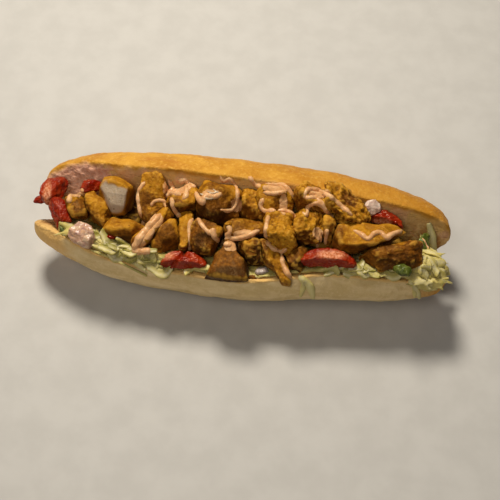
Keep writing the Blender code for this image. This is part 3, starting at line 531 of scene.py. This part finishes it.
def chicken_finish():
    """Roasted, spiced chicken: ochre, with browned places and painted shade, painted highlights on its
    ridges, specks of spice, oil and films of dressing.
    """
    f = Finish("roast_chicken_skin")
    own, browned = f.stored("own", "Vector"), f.stored("browned")
    film, cut, ridge, flaky = f.stored("film"), f.stored("cut"), f.stored("ridge"), f.stored("flaky")
    own = f.node("ShaderNodeVectorMath", {0: own, 1: f.stored("tone", "Vector")}, operation="ADD").outputs[0]
    cloud = f.speckle(0.009, 4, 0.6, 0.3)
    fine = f.speckle(0.0022, 4, 0.65)
    fibre = f.speckle(0.0016, 4, 0.6, 0.6, f.stretched(own, (0.22, 1, 1)))
    colour = f.mix(f.between(cloud, 0.33, 0.66), (0.29, 0.108, 0.005), (0.49, 0.215, 0.011))
    colour = f.mix(f.between(fine, 0.5, 0.7, 0, 0.55), colour, (0.68, 0.36, 0.032))
    grain = f.times(f.between(fibre, 0.5, 0.68, 0, 0.55), f.between(flaky, 0, 1, 0.35, 1))
    colour = f.mix(grain, colour, (0.17, 0.052, 0.004))
    # Brown patches follow the browned value, which holds painted shade as well as browning.
    patch = f.sum(f.speckle(0.015, 3, 0.55, 0.4), f.times(f.sum(browned, -0.5), 0.42))
    brown = f.mix(f.between(fine, 0.35, 0.65), (0.080, 0.022, 0.003), (0.21, 0.070, 0.007))
    colour = f.mix(f.between(patch, 0.46, 0.74, 0, 0.92), colour, brown)
    # Nearly black where the value is highest: painted shade, most of all on the hidden chunks in the gaps.
    colour = f.mix(f.between(browned, 1.6, 2.4, 0, 0.85), colour, (0.030, 0.009, 0.002))
    # Painted shade in the hollows and painted highlights on the ridges.
    colour = f.mix(f.between(ridge, -0.1, -0.8, 0, 0.6), colour, (0.070, 0.018, 0.002))
    colour = f.mix(f.between(ridge, 0.25, 0.9, 0, 0.35), colour, (0.78, 0.43, 0.06))
    spice = f.between(f.cells(0.0028), 0.10, 0.17, 1, 0)
    colour = f.mix(f.times(spice, f.between(cloud, 0.42, 0.6)), colour, (0.16, 0.035, 0.010))
    meat = f.mix(f.between(fibre, 0.35, 0.7), (0.46, 0.35, 0.24), (0.53, 0.42, 0.31))
    meat = f.mix(f.between(f.cells(0.0045), 0.08, 0.13, 0.8, 0), meat, (0.14, 0.07, 0.04))
    colour = f.mix(cut, colour, meat)
    wet = f.between(f.sum(film, f.times(f.sum(f.speckle(0.0045, 4, 0.6, 0.8), -0.5), 1.3)), 0.42, 0.6)
    pink = f.mix(f.between(cloud, 0.4, 0.65), DRESSING_DEEP, DRESSING_PINK)
    colour = f.mix(f.times(wet, 0.92), colour, pink)
    height = f.sum(f.times(f.times(fibre, 1.2), f.between(flaky, 0, 1, 0.3, 1)), f.times(fine, 0.8))
    height = f.sum(height, f.times(wet, 0.35))
    normal = f.relief(height, 0.0007)
    normal = f.relief(f.speckle(0.0009, 2), 0.0002, normal)
    rough = f.between(f.speckle(0.004, 3), 0.35, 0.65, 0.3, 0.6)
    return f.done(colour, rough, normal, (0.06, 0.003, 0.0012, 0.0005), shine=0.22, tint=(1.0, 0.7, 0.3))


def dressing_finish():
    f = Finish("pink_dressing")
    cloud = f.speckle(0.006, 3)
    fine = f.speckle(0.0012, 3)
    colour = f.mix(f.between(cloud, 0.35, 0.65), DRESSING_DEEP, DRESSING_PINK)
    colour = f.mix(f.between(f.cells(0.0035), 0.05, 0.09, 0.6, 0), colour, (0.45, 0.14, 0.05))
    normal = f.relief(f.sum(cloud, f.times(fine, 0.35)), 0.0003)
    rough = f.between(fine, 0.3, 0.7, 0.24, 0.4)
    return f.done(colour, rough, normal, (0.2, 0.003, 0.0015, 0.0007), shine=0.35, tint=(1.0, 0.88, 0.7))


def strand_finish():
    f = Finish("torn_meat")
    cloud = f.speckle(0.003, 3)
    fine = f.speckle(0.0008, 3)
    colour = f.mix(f.between(cloud, 0.35, 0.65), (0.50, 0.36, 0.22), (0.70, 0.56, 0.40))
    rough = f.between(fine, 0.3, 0.7, 0.35, 0.55)
    return f.done(colour, rough, f.relief(fine, 0.0002), shine=0.3)


def clump_finish():
    """A crumpled bunch of pale shreds and onion, coated with dressing."""
    f = Finish("dressed_clump")
    folds = f.speckle(0.006, 2, 0.5, 0.8)
    cloud = f.speckle(0.006, 3)
    fine = f.speckle(0.0012, 3)
    colour = f.mix(f.between(cloud, 0.4, 0.62), (0.60, 0.36, 0.215), (0.46, 0.26, 0.19))
    colour = f.mix(f.between(folds, 0.52, 0.64, 0, 0.8), colour, (0.65, 0.46, 0.30))
    colour = f.mix(f.between(folds, 0.42, 0.34, 0, 0.6), colour, (0.34, 0.19, 0.18))
    normal = f.relief(f.sum(folds, f.times(fine, 0.1)), 0.0007)
    return f.done(colour, f.between(fine, 0.3, 0.7, 0.25, 0.4), normal, (0.2, 0.003, 0.002, 0.001))


def tomato_finish():
    """Ripe tomato: a deep red glossy skin, and paler wet flesh with a grain and painted highlights."""
    f = Finish("ripe_tomato")
    skin, own = f.stored("skin"), f.stored("own", "Vector")
    fine = f.speckle(0.0014, 4, 0.6)
    cloud = f.speckle(0.006, 3, 0.6, 0.4)
    veins = f.speckle(0.0016, 3, 0.6, 0.8, f.stretched(own, (0.35, 1, 1)))
    flesh = f.mix(f.between(cloud, 0.35, 0.65), (0.21, 0.006, 0.001), (0.32, 0.024, 0.003))
    flesh = f.mix(f.between(veins, 0.55, 0.72, 0, 0.45), flesh, (0.62, 0.17, 0.05))
    deep = f.mix(f.between(cloud, 0.3, 0.7), (0.16, 0.003, 0.0005), (0.28, 0.008, 0.001))
    colour = f.mix(skin, flesh, deep)
    # Pale speckled flesh where the pale places are: pale wet flesh, and painted highlights.
    speckled = f.mix(f.between(fine, 0.4, 0.62), (0.50, 0.13, 0.035), (0.78, 0.36, 0.20))
    colour = f.mix(f.times(f.stored("pale"), f.between(cloud, 0.3, 0.5, 0.5, 0.95)), colour, speckled)
    normal = f.relief(f.times(f.sum(fine, veins), f.between(skin, 0, 1, 1, 0.15)), 0.0005)
    rough = f.between(fine, 0.3, 0.7, 0.1, 0.28)
    return f.done(colour, rough, normal, (0.1, 0.003, 0.0005, 0.0003), shine=0.4, tint=(1.0, 0.7, 0.55))


def lettuce_finish():
    """Shredded lettuce: pale ribs, yellow-green leaf and darker green edges."""
    f = Finish("shredded_lettuce")
    green, rib = f.stored("green"), f.stored("rib")
    cloud = f.speckle(0.005, 3)
    fine = f.speckle(0.0012, 3)
    leaf = f.mix(green, (0.64, 0.52, 0.17), (0.22, 0.20, 0.032))
    leaf = f.mix(f.between(cloud, 0.35, 0.7, 0, 0.5), leaf, (0.50, 0.42, 0.13))
    colour = f.mix(rib, leaf, (0.73, 0.65, 0.35))
    normal = f.relief(f.sum(cloud, f.times(fine, 0.5)), 0.0005)
    rough = f.between(fine, 0.3, 0.7, 0.38, 0.55)
    return f.done(colour, rough, normal, (0.3, 0.003, 0.003, 0.001), shine=0.3)


def pepper_finish():
    f = Finish("green_pepper")
    cloud = f.speckle(0.003, 3)
    colour = f.mix(f.between(cloud, 0.35, 0.65), (0.040, 0.055, 0.006), (0.12, 0.14, 0.022))
    normal = f.relief(f.speckle(0.0014, 3), 0.0003)
    rough = f.between(cloud, 0.3, 0.7, 0.18, 0.32)
    return f.done(colour, rough, normal, shine=0.35, tint=(0.9, 1.0, 0.7))


def onion_finish(name, pale, white):
    f = Finish(name)
    cloud = f.speckle(0.004, 3)
    layers = f.speckle(0.0013, 3, 0.5, 0.3, f.stretched(f.places, (0.3, 1, 1)))
    colour = f.mix(f.between(cloud, 0.35, 0.65), pale, white)
    colour = f.mix(f.between(layers, 0.5, 0.7, 0, 0.4), colour, tuple(0.7 * c for c in pale))
    normal = f.relief(layers, 0.0003)
    return f.done(colour, f.between(cloud, 0.3, 0.7, 0.25, 0.38), normal, (0.3, 0.003, 0.002, 0.002))


def along_roll(values, x):
    """Values that change smoothly between equally spaced stations from the roll's left end."""
    values = np.array(values, float)
    place = np.clip((x - ROLL_MIDDLE) / ROLL_LENGTH + 0.5, 0, 1) * (len(values) - 1)
    low = np.minimum(place.astype(int), len(values) - 2)
    part = place - low
    return values[low] + (values[low + 1] - values[low]) * part * part * (3 - 2 * part)


def on_half(places, side):
    """How far places are from the hinge along a half's cut face, out into its crust, and from its rim."""
    facing, leans = (1, TOP_LEAN) if side == "top" else (-1, BASE_LEAN)
    x, y, z = places.T
    lean = np.radians(along_roll(leans, x))
    across = facing * np.cos(lean) * y + np.sin(lean) * (z - HINGE_HEIGHT)
    out = facing * np.sin(lean) * y - np.cos(lean) * (z - HINGE_HEIGHT)
    share = np.abs(2 * (x - ROLL_MIDDLE) / ROLL_LENGTH)
    share = np.maximum(0, 1 - share**END_ROUNDNESS) ** (1 / END_ROUNDNESS)
    rim = ROLL_WIDTH / 2 - UNCUT_WIDTH + ROLL_WIDTH / 2 * share
    return across, out, rim - across


def bake_roll(finish):
    piece = copy_of("bread", "opened_roll")
    mesh_evenly(piece, "roll", 0.5, 7)
    places = points_of(piece)
    x, y, z = places.T
    top = y > 0
    across, out, to_rim = np.where(top, on_half(places, "top"), on_half(places, "base"))
    wobble = bumps(places, 9, 1)
    crumb = 1 - ease(1.0, 2.4, out + 0.7 * wobble)
    crumb *= np.where(top, ease(0.5, 5, to_rim + 2.5 * wobble), 1)
    rim = 1 - ease(4, 15, to_rim + 3 * wobble)
    ends = np.maximum(1 - ease(*LEFT_END, x + 4 * wobble), ease(*RIGHT_END, x + 4 * wobble))
    golden = np.where(top, ease(-14, 4, across + 3 * wobble), 0.10 + 0.95 * ends)
    # Browner to the right on the top half: baking, and painted shade.
    baked = 0.6 * top * ease(*BROWNER_TOP, x + 12 * wobble)
    # A lighter left tip on the base: golden baking, and painted light.
    tip = 0.75 * (1 - top) * (1 - ease(*LEFT_TIP, x + 6 * wobble))
    patchy = x + 7 * wobble + 6 * bumps(places, 4, 6, 3)
    smear = crumb * top * (1 - ease(*SMEAR_END, patchy)) * ease(14, 20, across + 3 * wobble)
    thin = 0.45 * crumb * top * ease(0.05, 0.5, bumps(places, 14, 7)) * ease(8, 16, across)
    smear = np.maximum(smear, thin)
    stain = crumb * (1 - ease(20, 44, across + 5 * wobble))
    relief = 0.6 * bumps(places, 16, 2) + (1 - crumb) * 0.2 * bumps(places, 4, 3, 3)
    relief += crumb * 0.18 * bumps(places, 3.5, 4, 3)
    relief += smear * (0.6 + 0.8 * bumps(places, 4, 5, 3))
    push_out(piece, relief * ease(1.5, 5, z))
    write_values(piece, crumb=crumb, rim=rim, golden=golden, smear=smear, stain=stain, baked=baked, tip=tip)
    hand_over(piece, "crust", finish, "bread")
    return piece


def view_plane(places):
    """Places seen along the way the dressing falls: across to the right and up the slope."""
    return places @ np.array(VIEW_RIGHT), places @ np.array(VIEW_UP)


def on_axes_of(turn, place, places):
    """Places on the axes of a piece that lies at a place, turned about Z, Y and X."""
    yaw, pitch, roll = turn
    angles = [math.radians(a) for a in (roll, pitch, yaw)]
    lie = Matrix.Translation(place) @ Euler(angles, "XYZ").to_matrix().to_4x4()
    back = np.array(lie.inverted())
    return places @ back[:3, :3].T + back[:3, 3]


def own_places(places):
    """Places along a piece's own long, middle and short axes, about its middle."""
    middle = places.mean(axis=0)
    axes = np.linalg.svd(places - middle, full_matrices=False)[2]
    return (places - middle) @ axes.T


def ridges(piece):
    """How much each point stands proud of those round it, from about -1 to 1."""
    places, normals = points_of(piece), normals_of(piece)
    pairs = np.zeros(len(piece.data.edges) * 2, int)
    piece.data.edges.foreach_get("vertices", pairs)
    pairs = pairs.reshape(-1, 2)
    first, second = np.concatenate([pairs, pairs[:, ::-1]]).T
    total, count = np.zeros_like(places), np.zeros(len(places))
    np.add.at(total, first, places[second])
    np.add.at(count, first, 1)
    away = places - total / np.maximum(count, 1)[:, None]
    height = (away * normals).sum(axis=1)
    for _ in range(3):
        blur = np.zeros(len(places))
        np.add.at(blur, first, height[second])
        height = 0.5 * height + 0.5 * blur / np.maximum(count, 1)
    return np.clip(height / RIDGE_HEIGHT, -1, 1)


def spot_share(spots, places):
    """How far inside some round spots places are, seen the way the dressing falls."""
    across, up = view_plane(places)
    share = np.zeros(len(places))
    for middle_across, middle_up, wide, high in spots:
        apart = np.hypot((across - middle_across) / wide, (up - middle_up) / high)
        share = np.maximum(share, 1 - ease(*SPOT_EDGE, apart))
    return share


def film_share(places, normals):
    """How thickly a film of dressing coats each place."""
    return spot_share(FILMS, places) * ease(-0.1, 0.3, normals @ np.array(VIEW_BACK))


def narrowed(places, top):
    """A chunk's places drawn in from both sides, the more the higher they are, seen from the camera."""
    across, up = view_plane(places)
    part = (up - up.min()) / (up.max() - up.min())
    inward = (across - across.mean()) * (1 - top) * part
    return places - np.outer(inward, np.array(VIEW_RIGHT))


def roast_chunk(name, index, finish):
    node = "chicken_" + name
    piece = copy_of(node, "roast_" + name)
    hidden = name.startswith("under")
    mesh_evenly(piece, "hidden chunk" if hidden else "chunk", 0.6, SOFTNESS.get(name, USUAL_SOFTNESS))
    if name in NARROWED:
        move_points(piece, narrowed(points_of(piece), NARROWED[name]))
    flaky = FLAKY.get(name, USUAL_FLAKY)
    places = points_of(piece)
    own = own_places(places)
    fibres = own * np.array([0.3, 1, 1])
    relief = 0.2 + 2.1 * bumps(places, 9, index, 1) + (0.3 + 0.7 * flaky) * bumps(places, 4, index + 40, 3)
    relief += (0.12 + flaky) * bumps(fibres, 2.2, index + 80, 3)
    cut = 0
    if name == CUT_CHUNK[0]:
        _, turn, place, width = CUT_CHUNK
        along = on_axes_of(turn, place, places)
        start, end = (-width / 2 + inward for inward in CUT_FADE)
        cut = 1 - ease(start, end, along[:, 1] + 0.5 * bumps(places, 3, 5))
        cut *= 1 - ease(*CUT_TOP, along[:, 2] + 1.5 * bumps(places, 5, 6))
        relief *= 0.4 - 0.25 * cut
    push_out(piece, relief)
    # Painted shade: the sides that face away from the painted light get darker.
    under = 1 - ease(0, 0.85, normals_of(piece) @ PAINTED_LIGHT_FROM)
    # Painted shade: chunks get darker low down in the filling.
    low = 1 - ease(*SHADE_HEIGHTS, places[:, 2])
    # The dark places: browning, and painted shade.
    dark = 1.2 * spot_share(DARK_PLACES, places)
    # Browning and painted shade in one value.
    browned = BROWNED_AND_SHADE.get(name, USUAL_BROWNED_AND_SHADE) + 0.8 * under + 0.5 * low + dark + 2 * hidden
    film = film_share(points_of(piece), normals_of(piece))
    write_values(piece, tone=(index * TONE_STEP) % 1, browned=browned, film=film, cut=cut)
    write_values(piece, flaky=max(0, flaky), ridge=ridges(piece))
    write_own(piece, own)
    hand_over(piece, "roast_chicken", finish, node)
    return piece


def gap_depth(places, start, end, deep, wide):
    """How far a narrow gap dents places, by how near they are to its line."""
    across, up = view_plane(places)
    run = np.subtract(end, start) / math.dist(start, end)
    apart = (across - start[0]) * run[1] - (up - start[1]) * run[0]
    return deep * np.exp(-((apart / wide) ** 2))


def cut_wedge(node, index, finish):
    """A tomato wedge with a rounded skin below and two cut faces."""
    piece = copy_of(node, "ripe_" + node)
    mesh_evenly(piece, "wedge", 0.5, 9)
    places = points_of(piece)
    own = on_axes_of(*WEDGES[node], places)
    skin = 1 - ease(-1.2, 0.2, own[:, 2] + 0.4 * bumps(places, 4, index))
    creases = np.abs(bumps(own * np.array([0.6, 1, 1]), 6, index + 30)) - 0.3
    wet = 0.45 * bumps(places, 3, index + 20, 3) + 1.1 * creases
    swells = (1 - skin) * wet + 0.25 * bumps(places, 7, index)
    if node in GAPS:
        swells -= gap_depth(places, *GAPS[node])
    push_out(piece, swells)
    write_values(piece, skin=skin, pale=spot_share(PALE_AND_HIGHLIT_PLACES, places))
    write_own(piece, own)
    hand_over(piece, "tomato", finish, node)
    return piece


def small_cut(node, name, slot, index, finish, folded=0):
    piece = copy_of(node, name)
    mesh_evenly(piece, "small cut", 0.5, 1 if slot == "onion" else 5)
    places = points_of(piece)
    creased = np.abs(bumps(places, 7, index + 70, 1))
    push_out(piece, 0.35 * bumps(places, 3, index + 60, 3) + folded * (creased - 0.35))
    hand_over(piece, slot, finish, node)
    return piece


def thicken(piece, thickness):
    """Turns a flat shred into a thin rounded one."""
    finish_step(piece, "SOLIDIFY", thickness=thickness * MM, offset=0)
    finish_step(piece, "SUBSURF", levels=1, render_levels=1)


def flat_strip(long, wide):
    """A flat grid, and how far along it and how far aside of its middle each of its points is."""
    bpy.ops.mesh.primitive_grid_add(x_subdivisions=long, y_subdivisions=wide, size=1, location=(0, 0, 0))
    piece = bpy.context.object
    places = points_of(piece) * MM
    return piece, places[:, 0] + 0.5, places[:, 1] * 2


def leaf_shred(draw):
    """One shred, flat on the floor of its own space: long, wavy, ruffled along one edge and thin."""
    piece, u, v = flat_strip(11, 3)
    phase, bends = draw.uniform(0, 6), draw.uniform(0.7, 1.6)
    wide = draw.uniform(1.6, 3.4) * (1 - 0.35 * np.abs(2 * u - 1) ** 3)
    wide = wide * (1 + 0.08 * np.sin(17 * u + phase))
    length = draw.uniform(*SHRED_LENGTHS)
    bow = draw.uniform(1, 3.5) * np.sin(math.pi * bends * u + phase)
    x = (u - 0.5) * length
    y = v * wide + bow
    z = draw.uniform(0.4, 1.0) * np.sin(2 * math.pi * bends * u + 2 * phase)
    z += 0.5 * v * np.sin(7 * u + phase) + 0.15 * np.maximum(v, 0) * np.sin(31 * u)
    move_points(piece, np.stack([x, y, z], axis=1))
    ribbed = draw.random() < 0.4
    rib = (1 - ease(0.1, 0.6, np.abs(v + 0.3))) * (0.9 if ribbed else 0.25)
    write_values(piece, rib=rib, green=ease(-0.2, 1.2, v) * 0.5)
    thicken(piece, 1.4 if ribbed else 0.8)
    return piece


def surface_under(trees, across, up):
    """Where the nearest surface is met, looking the way the dressing falls, and which way it faces."""
    start = (VIEW_RIGHT * across + VIEW_UP * up) * MM + VIEW_BACK * LOOK_FROM
    hits = []
    for tree in trees:
        place, normal, _, distance = tree.ray_cast(start, -VIEW_BACK)
        if place:
            hits.append((distance, place, normal))
    if not hits:
        return None
    return min(hits, key=lambda hit: hit[0])[1:]


def tree_of(piece):
    graph = bpy.context.evaluated_depsgraph_get()
    return BVHTree.FromObject(piece, graph)


def long_shred(index, trees, path, wide, green, rib, lift):
    """A shred that follows a path seen from the camera, lying on what is under it."""
    steps = 5 * (len(path) - 1)
    stations = np.linspace(0, 1, len(path))
    run, facing = [], []
    for u in np.linspace(0, 1, steps + 1):
        across, up = (np.interp(u, stations, [place[k] for place in path]) for k in (0, 1))
        hit = surface_under(trees, across, up)
        if hit:
            run.append(hit[0])
            facing.append(hit[1])
    if len(run) < SHORTEST_SHRED:
        return None
    run = np.array(evened(run, 4)) / MM
    facing = np.array(evened(facing, 6))
    ahead = np.gradient(run, axis=0)
    aside = np.cross(facing, ahead)
    aside /= np.linalg.norm(aside, axis=1)[:, None]
    piece, u, v = flat_strip(len(run) * 2, 4)
    along = np.linspace(0, 1, len(run))
    middle, side, out = (
        np.stack([np.interp(u, along, rows[:, k]) for k in range(3)], axis=1)
        for rows in (run, aside, facing)
    )
    half = wide / 2 * (1 - 0.6 * np.abs(2 * u - 1) ** 3) * (1 + 0.1 * np.sin(13 * u + index))
    height = 0.7 + 0.35 * np.cos(math.pi * v) + 0.3 * np.sin(11 * u + 2 * v + index) + lift * u
    move_points(piece, middle + side * (v * half)[:, None] + out * height[:, None])
    rib = rib * (1 - ease(0.2, 0.9, np.abs(v)))
    write_values(piece, rib=rib, green=np.clip(green + 0.3 * v, 0, 1))
    thicken(piece, 1.1)
    return piece


def shred_lettuce(finish, under, blockers):
    """The bed of lettuce, with loose shreds where nothing stands in the camera's way."""
    core = copy_of("lettuce", "lettuce_bed")
    mesh_evenly(core, "lettuce", 0.5, 3)
    places = points_of(core)
    behind = (places[:, 0] > BED_BEHIND[0]) & (places[:, 1] > BED_BEHIND[1])
    places[:, 2] = np.where(behind, np.minimum(places[:, 2], BED_BEHIND_HEIGHT), places[:, 2])
    move_points(core, places)
    push_out(core, 0.5 * bumps(places, 5, 9, 3) - 0.3)
    write_values(core, green=0.3 + 0.5 * bumps(places, 8, 11))
    write_values(core, rib=ease(0.1, 0.5, bumps(places, 6, 12)) * 0.6)
    draw = random.Random(SHREDS_SEED)
    patterns = [leaf_shred(draw) for _ in range(SHRED_PATTERNS)]
    trees = [tree_of(core)] + under
    shreds = [core]
    for across0, up0, across1, up1, stray, count, green in SHRED_RUNS:
        for i in range(count):
            t = (i + draw.random()) / count
            across = across0 + (across1 - across0) * t + draw.uniform(-2, 2)
            up = up0 + (up1 - up0) * t + draw.gauss(0, 0.5) * stray
            hit = surface_under(trees, across, up)
            hidden = surface_under(blockers, across, up)
            if not hit or (hidden and (hidden[0] - hit[0]).dot(VIEW_BACK) > HIDDEN_BY * MM):
                continue
            place, normal = hit
            made = draw.choice(patterns)
            strip = new_object("loose_shred", made.data.copy())
            lie = Vector((1, -0.1 + draw.gauss(0, 0.35), draw.gauss(0, 0.15)))
            lie = (lie - normal * lie.dot(normal)).normalized() * draw.choice((-1, 1))
            rise = (normal + Vector((draw.gauss(0, 0.3), draw.gauss(0, 0.3), 0.3))).normalized()
            side = rise.cross(lie).normalized()
            rise = lie.cross(side)
            turn = Matrix((lie, side, rise)).transposed().to_4x4()
            strip.data.transform(Matrix.Translation(place + normal * draw.uniform(0.2, 1.4) * MM) @ turn)
            stored = strip.data.attributes["green"].data
            # Each run's greenness, partly painted shade and painted light, is added to the shred's own.
            change = green + draw.gauss(0, 0.15)
            values = np.zeros(len(stored))
            stored.foreach_get("value", values)
            stored.foreach_set("value", np.clip(values + change, 0, 1))
            shreds.append(strip)
    for made in patterns:
        bpy.data.objects.remove(made)
    laid = [long_shred(index, trees, *shred) for index, shred in enumerate(LONG_SHREDS)]
    shreds += [strip for strip in laid if strip]
    piece = joined(shreds, "shredded_lettuce")
    hand_over(piece, "lettuce", finish, "lettuce")
    return piece


def stroke_path(places):
    """Points along a smooth line through places, across and up."""
    places = [Vector(place) for place in places]
    ends = [places[0] * 2 - places[1]] + places + [places[-1] * 2 - places[-2]]
    yield places[0]
    for before, start, end, after in zip(ends, ends[1:], ends[2:], ends[3:]):
        count = max(2, round((end - start).length / STROKE_STEP))
        for i in range(1, count + 1):
            u = i / count
            square = before * 2 - start * 5 + end * 4 - after
            cube = after - before + (start - end) * 3
            bend = square * u * u + cube * u**3
            yield start + ((end - before) * u + bend) / 2


def bead_runs(strokes, trees):
    """The stretches of bead that lie on the filling, each a list of places and a radius."""
    for places, radius in strokes:
        run = []
        for across, up in stroke_path(places):
            hit = surface_under(trees, across, up)
            if not hit or (run and abs((hit[0] - run[-1]).dot(VIEW_BACK)) > BEAD_DROP * MM):
                if len(run) >= SHORTEST_BEAD:
                    yield run, radius
                run = []
            if hit:
                run.append(hit[0])
        if len(run) >= SHORTEST_BEAD:
            yield run, radius


def evened(run, rounds=3):
    """A run of places with its small dips bridged."""
    for _ in range(rounds):
        run = [run[0]] + [(a + b * 2 + c) / 4 for a, b, c in zip(run, run[1:], run[2:])] + [run[-1]]
    return run


def bead_of(run, radius, sink, index):
    """A round bead through places, thinner at its ends and uneven along its way."""
    curve = bpy.data.curves.new("bead", "CURVE")
    curve.dimensions = "3D"
    curve.bevel_depth = 1 * MM
    curve.bevel_resolution = 3
    curve.use_fill_caps = True
    line = curve.splines.new("POLY")
    line.points.add(len(run) - 1)
    for i, place in enumerate(run):
        u = i / (len(run) - 1)
        ends = min(1, 0.45 + 6 * min(u, 1 - u))
        uneven = 1 + 0.35 * noise.noise(Vector((i * 0.21, index * 3.7, 0)))
        line.points[i].co = (*(place - VIEW_BACK * sink * radius * MM), 1)
        line.points[i].radius = radius * ends * uneven
    pick(new_object("bead", curve))
    bpy.ops.object.convert(target="MESH")
    return bpy.context.object


def beads_along(strokes, surfaces, sink, seed, name):
    """A bead along each of some strokes, joined into one piece."""
    beads = []
    for index, (run, radius) in enumerate(bead_runs(strokes, surfaces), seed):
        beads.append(bead_of(evened(run), radius, sink, index))
    return joined(beads, name)


def pour_dressing(finish, surfaces):
    piece = beads_along(STROKES, surfaces, DRESSING_SINK, 0, "poured_dressing")
    mesh_evenly(piece, "dressing", 0.5, 6)
    push_out(piece, 0.2 * bumps(points_of(piece), 3, 30))
    hand_over(piece, "roast_chicken", finish)


def tear_strands(finish, surfaces):
    piece = beads_along(STRANDS, surfaces, STRAND_SINK, STRANDS_SEED, "strands")
    mesh_evenly(piece, "strand", 0.5, 2)
    hand_over(piece, "roast_chicken", finish)


def drop_bit(name, place, size, slot, finish, surfaces):
    """A small bit of food that lies where it is met by a look from the camera."""
    hit = surface_under(surfaces, *place)
    bpy.ops.mesh.primitive_ico_sphere_add(subdivisions=4, radius=1, location=(0, 0, 0))
    piece = bpy.context.object
    piece.name = name
    places = points_of(piece) * MM
    places = places * (1 + 0.3 * bumps(places, 0.9, len(name), 3))[:, None] * np.array(size)
    move_points(piece, places + np.array(hit[0]) / MM + np.array(hit[1]) * 0.4 * size[2])
    write_values(piece, tone=0, film=0, cut=0, ridge=0, flaky=0, skin=0, pale=0, browned=0.7)
    write_own(piece, places)
    hand_over(piece, slot, finish)


def lay_floor():
    bpy.ops.mesh.primitive_plane_add(size=4, location=(0, 0, 0))
    floor = bpy.context.object
    floor.name = "floor"
    f = Finish("pale_floor")
    grain = f.speckle(0.02, 3)
    colour = f.mix(f.between(grain, 0.3, 0.7), (0.50, 0.49, 0.47), (0.54, 0.53, 0.51))
    floor.data.materials.append(f.done(colour, 0.7, f.relief(grain, 0.0001)))


def soft_light(name, place, size, power, colour):
    lamp = bpy.data.lights.new(name, "AREA")
    lamp.shape = "DISK"
    lamp.size = size
    lamp.energy = power
    lamp.color = colour
    light = new_object(name, lamp)
    light.location = place
    light.rotation_euler = (Vector(LIGHTS_AIM) - Vector(place)).to_track_quat("-Z", "Y").to_euler()


def light_scene():
    for name, light in LIGHTS.items():
        soft_light(name, *light)
    world = bpy.data.worlds.new("studio")
    world.use_nodes = True
    sockets = world.node_tree.nodes["Background"].inputs
    sockets["Color"].default_value = ROOM_COLOUR
    sockets["Strength"].default_value = ROOM_LIGHT
    bpy.context.scene.world = world
    bpy.context.scene.view_settings.view_transform = "Standard"


def place_camera():
    lens = bpy.data.cameras.new("camera")
    lens.lens = LENS
    lens.sensor_width = SENSOR_WIDTH
    lens.clip_start = CLIP_START
    camera = new_object("camera", lens)
    aside = [offset / VIEW_FOCUS * VIEW_DISTANCE for offset in VIEW_ASIDE]
    place = Vector((0, 0, VIEW_HEIGHT)) + VIEW_BACK * VIEW_DISTANCE
    camera.location = place - VIEW_RIGHT * aside[0] - VIEW_UP * aside[1]
    camera.rotation_euler = (-VIEW_BACK).to_track_quat("-Z", "Y").to_euler()
    bpy.context.scene.camera = camera


def build():
    place_camera()
    roll = bake_roll(bread_finish())
    chicken, tomato, lettuce = chicken_finish(), tomato_finish(), lettuce_finish()
    chunks = [roast_chunk(name, index + 1, chicken) for index, name in enumerate(CHUNKS)]
    wedges = [cut_wedge(node, index + 1, tomato) for index, node in enumerate(WEDGES)]
    pepper = pepper_finish()
    onion = onion_finish("raw_onion", (0.64, 0.44, 0.34), (0.74, 0.58, 0.48))
    # A darker copy of the onion finish for the front onion: painted shade.
    painted_shade_onion = onion_finish("onion_in_painted_shade", (0.36, 0.28, 0.24), (0.50, 0.42, 0.38))
    trimmings = [
        small_cut("onion_piece", "raw_onion_back", "onion", 1, onion, 1.2),
        small_cut("onion_front", "raw_onion_front", "onion", 6, painted_shade_onion, 1.5),
    ]
    for index, place in enumerate(("left", "right", "back_right"), 2):
        trimmings.append(small_cut("pepper_" + place, "green_pepper_" + place, "pepper", index, pepper))
    clump = small_cut("lettuce_dressed", "dressed_lettuce_clump", "lettuce", 5, clump_finish(), 1.2)
    filling = [tree_of(piece) for piece in chunks + wedges + trimmings + [clump]]
    greens = shred_lettuce(lettuce, [tree_of(roll)], filling)
    surfaces = filling + [tree_of(greens), tree_of(roll)]
    pour_dressing(dressing_finish(), surfaces)
    tear_strands(strand_finish(), surfaces)
    for name, place, size, slot in BITS:
        drop_bit(name, place, size, slot, tomato if slot == "tomato" else chicken, surfaces)
    lay_floor()
    light_scene()


build()
deselect()
